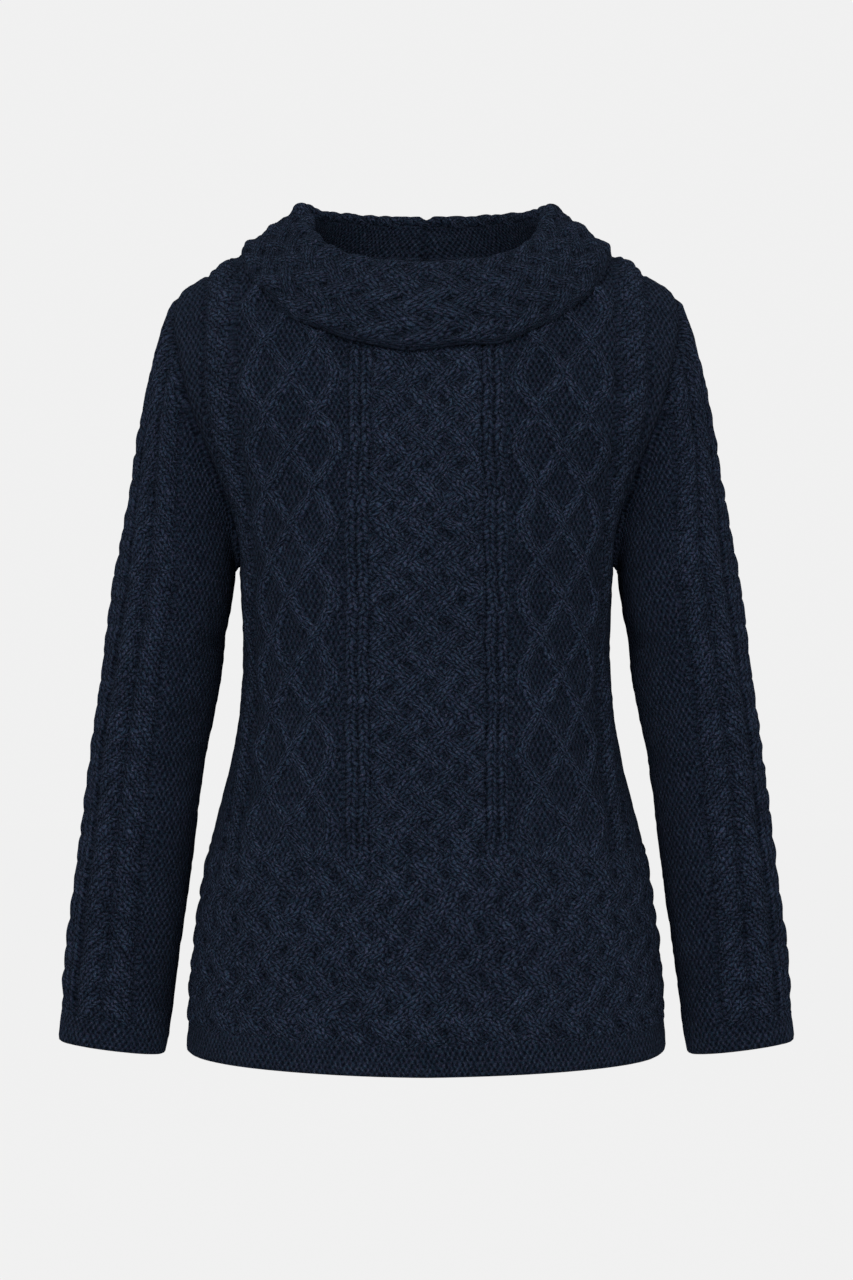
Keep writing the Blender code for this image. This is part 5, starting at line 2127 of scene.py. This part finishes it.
    def sleeve_bands(self) -> list[Band]:
        """Make the pattern of a sleeve."""
        gauge, low, top = self.gauge, self.cuff_band + 1.0, self.top
        inner, outer = self.sleeve_ropes
        bands = self.edge_bands(self.cuff_band)
        bands += [gauge.rib(middle, self.rib_half, low, top) for middle in self.sleeve_ribs]
        for side in (-1, 1):
            for middle, way in ((side * inner, side), (side * outer, -side)):
                bands.append(gauge.rope(middle, self.rope_half, low, top, pitch=21.0, way=way))
        moss = gauge.ground(Kind.MOSS, 0.9, between(self.sleeve_moss, math.inf))
        return bands + [moss.above(low)]

    def collar_bands(self) -> list[Band]:
        """Make the pattern of the collar."""
        gauge, form = self.gauge, self.collar_form
        inside = form.fall + form.crest + 2.0
        return [
            gauge.ground(Kind.PURL, gauge.hole, everywhere),
            *gauge.lattice(8.0, inside, left=-10, right=form.around + 10, row=16.5),
            gauge.ground(Kind.MOSS, 0.4, everywhere).above(inside),
            gauge.ridge(2.4, half=3.0, rise=1.4),
            gauge.ridge(form.up - 6.0, half=3.4, rise=2.4),
        ]

    def dress(
        self,
        cloth: Cloth,
        finish: WoolFinish,
        is_tube: bool = False,
    ) -> bpy.types.Object:
        """Build a cloth, hang it on the root and log its number of triangles.

        Args:
            cloth: The cloth.
            finish: Its wool.
            is_tube: True for a tube, such as the collar; not used.

        Returns:
            The object.
        """
        piece = cloth.build(self.wool.material(finish))
        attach(piece, "root")
        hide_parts(cloth.name.removesuffix("_knit"))
        cloth.flat
        None if is_tube else cloth.area
        LOG.info("%s: %d triangles", cloth.name, len(piece.data.polygons))
        return piece

    def build(self) -> list[bpy.types.Object]:
        """Build every piece."""
        panels = [self.panel(self.front_form, "front_knit"), self.panel(self.back_form, "back_knit")]
        sleeves = [self.sleeve(1, "sleeve_left_knit"), self.sleeve(-1, "sleeve_right_knit")]
        return [*panels, *sleeves, self.collar()]

    def panel(self, form: TorsoForm, name: str) -> bpy.types.Object:
        """Build the front or the back.

        Args:
            form: Its form.
            name: Its name.

        Returns:
            The object.
        """
        cloth = Cloth(
            name,
            form.place,
            form.outline(self.panel_step),
            self.panel_bands(),
            lambda u, v: v < self.open_below,
            step=self.panel_step,
            flip=not form.is_front,
            seed=10 if form.is_front else 30,
        )
        return self.dress(cloth, self.body)

    def sleeve(self, side: int, name: str) -> bpy.types.Object:
        """Build a sleeve.

        Args:
            side: 1 for the one towards +X, or -1.
            name: Its name.

        Returns:
            The object.
        """

        def place(u: Array, v: Array) -> tuple[Array, Array]:
            """Place the sleeve on its side."""
            at, out = self.sleeve_form.place(u, v)
            return at * (side, 1, 1), out * (side, 1, 1)

        outline, joined = self.sleeve_form.outline(self.sleeve_step)
        cloth = Cloth(
            name,
            place,
            outline,
            self.sleeve_bands(),
            lambda u, v: v < self.open_below,
            joined=joined,
            step=self.sleeve_step,
            flip=side > 0,
            seed=50 if side > 0 else 70,
        )
        return self.dress(cloth, self.arm)

    def collar(self) -> bpy.types.Object:
        """Build the collar.


        Returns:
            The object.
        """
        form = self.collar_form
        outline, joined = form.outline(self.collar_step)
        cloth = Cloth(
            "collar_knit",
            form.place,
            outline,
            self.collar_bands(),
            lambda u, v: v < self.collar_open_below,
            joined=joined,
            step=self.collar_step,
            flip=True,
            seed=90,
        )
        return self.dress(cloth, self.neck, is_tube=True)


# ---------------------------------------------------------------- studio
class Lamp(NamedTuple):
    """A soft square light."""

    name: str
    at: tuple[float, float, float]
    size: float
    power: float


@dataclass
class Studio:
    """A plain pale floor and surround, soft lights and the camera.

    Attributes:
        paper: Colour of the floor and the surround.
        floor_half: Half the floor's width.
        floor_glow: The floor's own light, which hides shadows.
        distance: From the garment's middle to the camera.
        aim: What the lights face.
    """

    paper: Colour = (0.875, 0.875, 0.875)
    floor_z: float = -0.98
    floor_half: float = 9.0
    floor_glow: float = 0.985
    lens: float = 91.4
    distance: float = 2.6
    camera_z: float = -0.302
    aim: tuple[float, float, float] = (0.0, 0.0, -0.3)
    lamps: tuple[Lamp, ...] = (
        Lamp("key", (-1.3, -2.5, 0.9), 1.6, 62.0),
        Lamp("fill", (1.7, -2.3, 0.3), 1.8, 38.0),
        Lamp("top", (0.0, 0.3, 2.1), 1.6, 5.0),
        Lamp("rim_left", (-1.9, 1.5, 0.6), 1.2, 26.0),
        Lamp("rim_right", (1.9, 1.5, 0.6), 1.2, 26.0),
    )

    def build(self) -> None:
        """Build all of it."""
        self.floor()
        self.surround()
        for lamp in self.lamps:
            self.light(lamp)
        self.camera()

    def floor(self) -> None:
        """Lay a wide floor that nearly matches the surround."""
        mesh = bpy.data.meshes.new("floor")
        corners = ((-1, -1), (1, -1), (1, 1), (-1, 1))
        points = [(x * self.floor_half, y * self.floor_half, self.floor_z) for x, y in corners]
        mesh.from_pydata(points, [], [(0, 1, 2, 3)])
        piece = bpy.data.objects.new("floor", mesh)
        bpy.context.scene.collection.objects.link(piece)
        material = bpy.data.materials.new("paper")
        material.use_nodes = True
        shader = material.node_tree.nodes["Principled BSDF"]
        shader.inputs["Base Color"].default_value = (0.01, 0.01, 0.01, 1.0)
        shader.inputs["Roughness"].default_value = 0.95
        shader.inputs["Specular IOR Level"].default_value = 0.0
        shader.inputs["Emission Color"].default_value = (*self.paper, 1.0)
        shader.inputs["Emission Strength"].default_value = self.floor_glow
        mesh.materials.append(material)

    def surround(self) -> None:
        """Set the surround to plain pale paper."""
        world = bpy.data.worlds.new("surround")
        world.use_nodes = True
        background = world.node_tree.nodes["Background"]
        background.inputs["Color"].default_value = (*self.paper, 1.0)
        background.inputs["Strength"].default_value = 1.0
        bpy.context.scene.world = world

    def light(self, lamp: Lamp) -> None:
        """Hang a light.

        Args:
            lamp: Which, and where.
        """
        data = bpy.data.lights.new(lamp.name, "AREA")
        data.size = lamp.size
        data.energy = lamp.power
        piece = bpy.data.objects.new(lamp.name, data)
        piece.location = lamp.at
        piece.rotation_euler = (Vector(self.aim) - Vector(lamp.at)).to_track_quat("-Z", "Y").to_euler()
        bpy.context.scene.collection.objects.link(piece)

    def camera(self) -> None:
        """Set the camera in front of the garment."""
        data = bpy.data.cameras.new("camera")
        data.lens = self.lens
        camera = bpy.data.objects.new("camera", data)
        camera.location = (0.0, -self.distance, self.camera_z)
        camera.rotation_euler = (math.pi / 2, 0, 0)
        bpy.context.scene.collection.objects.link(camera)
        bpy.context.scene.camera = camera
        bpy.context.scene.view_settings.view_transform = "Standard"


def main() -> None:
    """Build the garment and the studio."""
    logging.basicConfig(level=logging.INFO, format="%(name)s: %(message)s")
    Sweater(Wool()).build()
    Studio().build()
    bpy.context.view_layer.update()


if __name__ == "__main__":
    main()
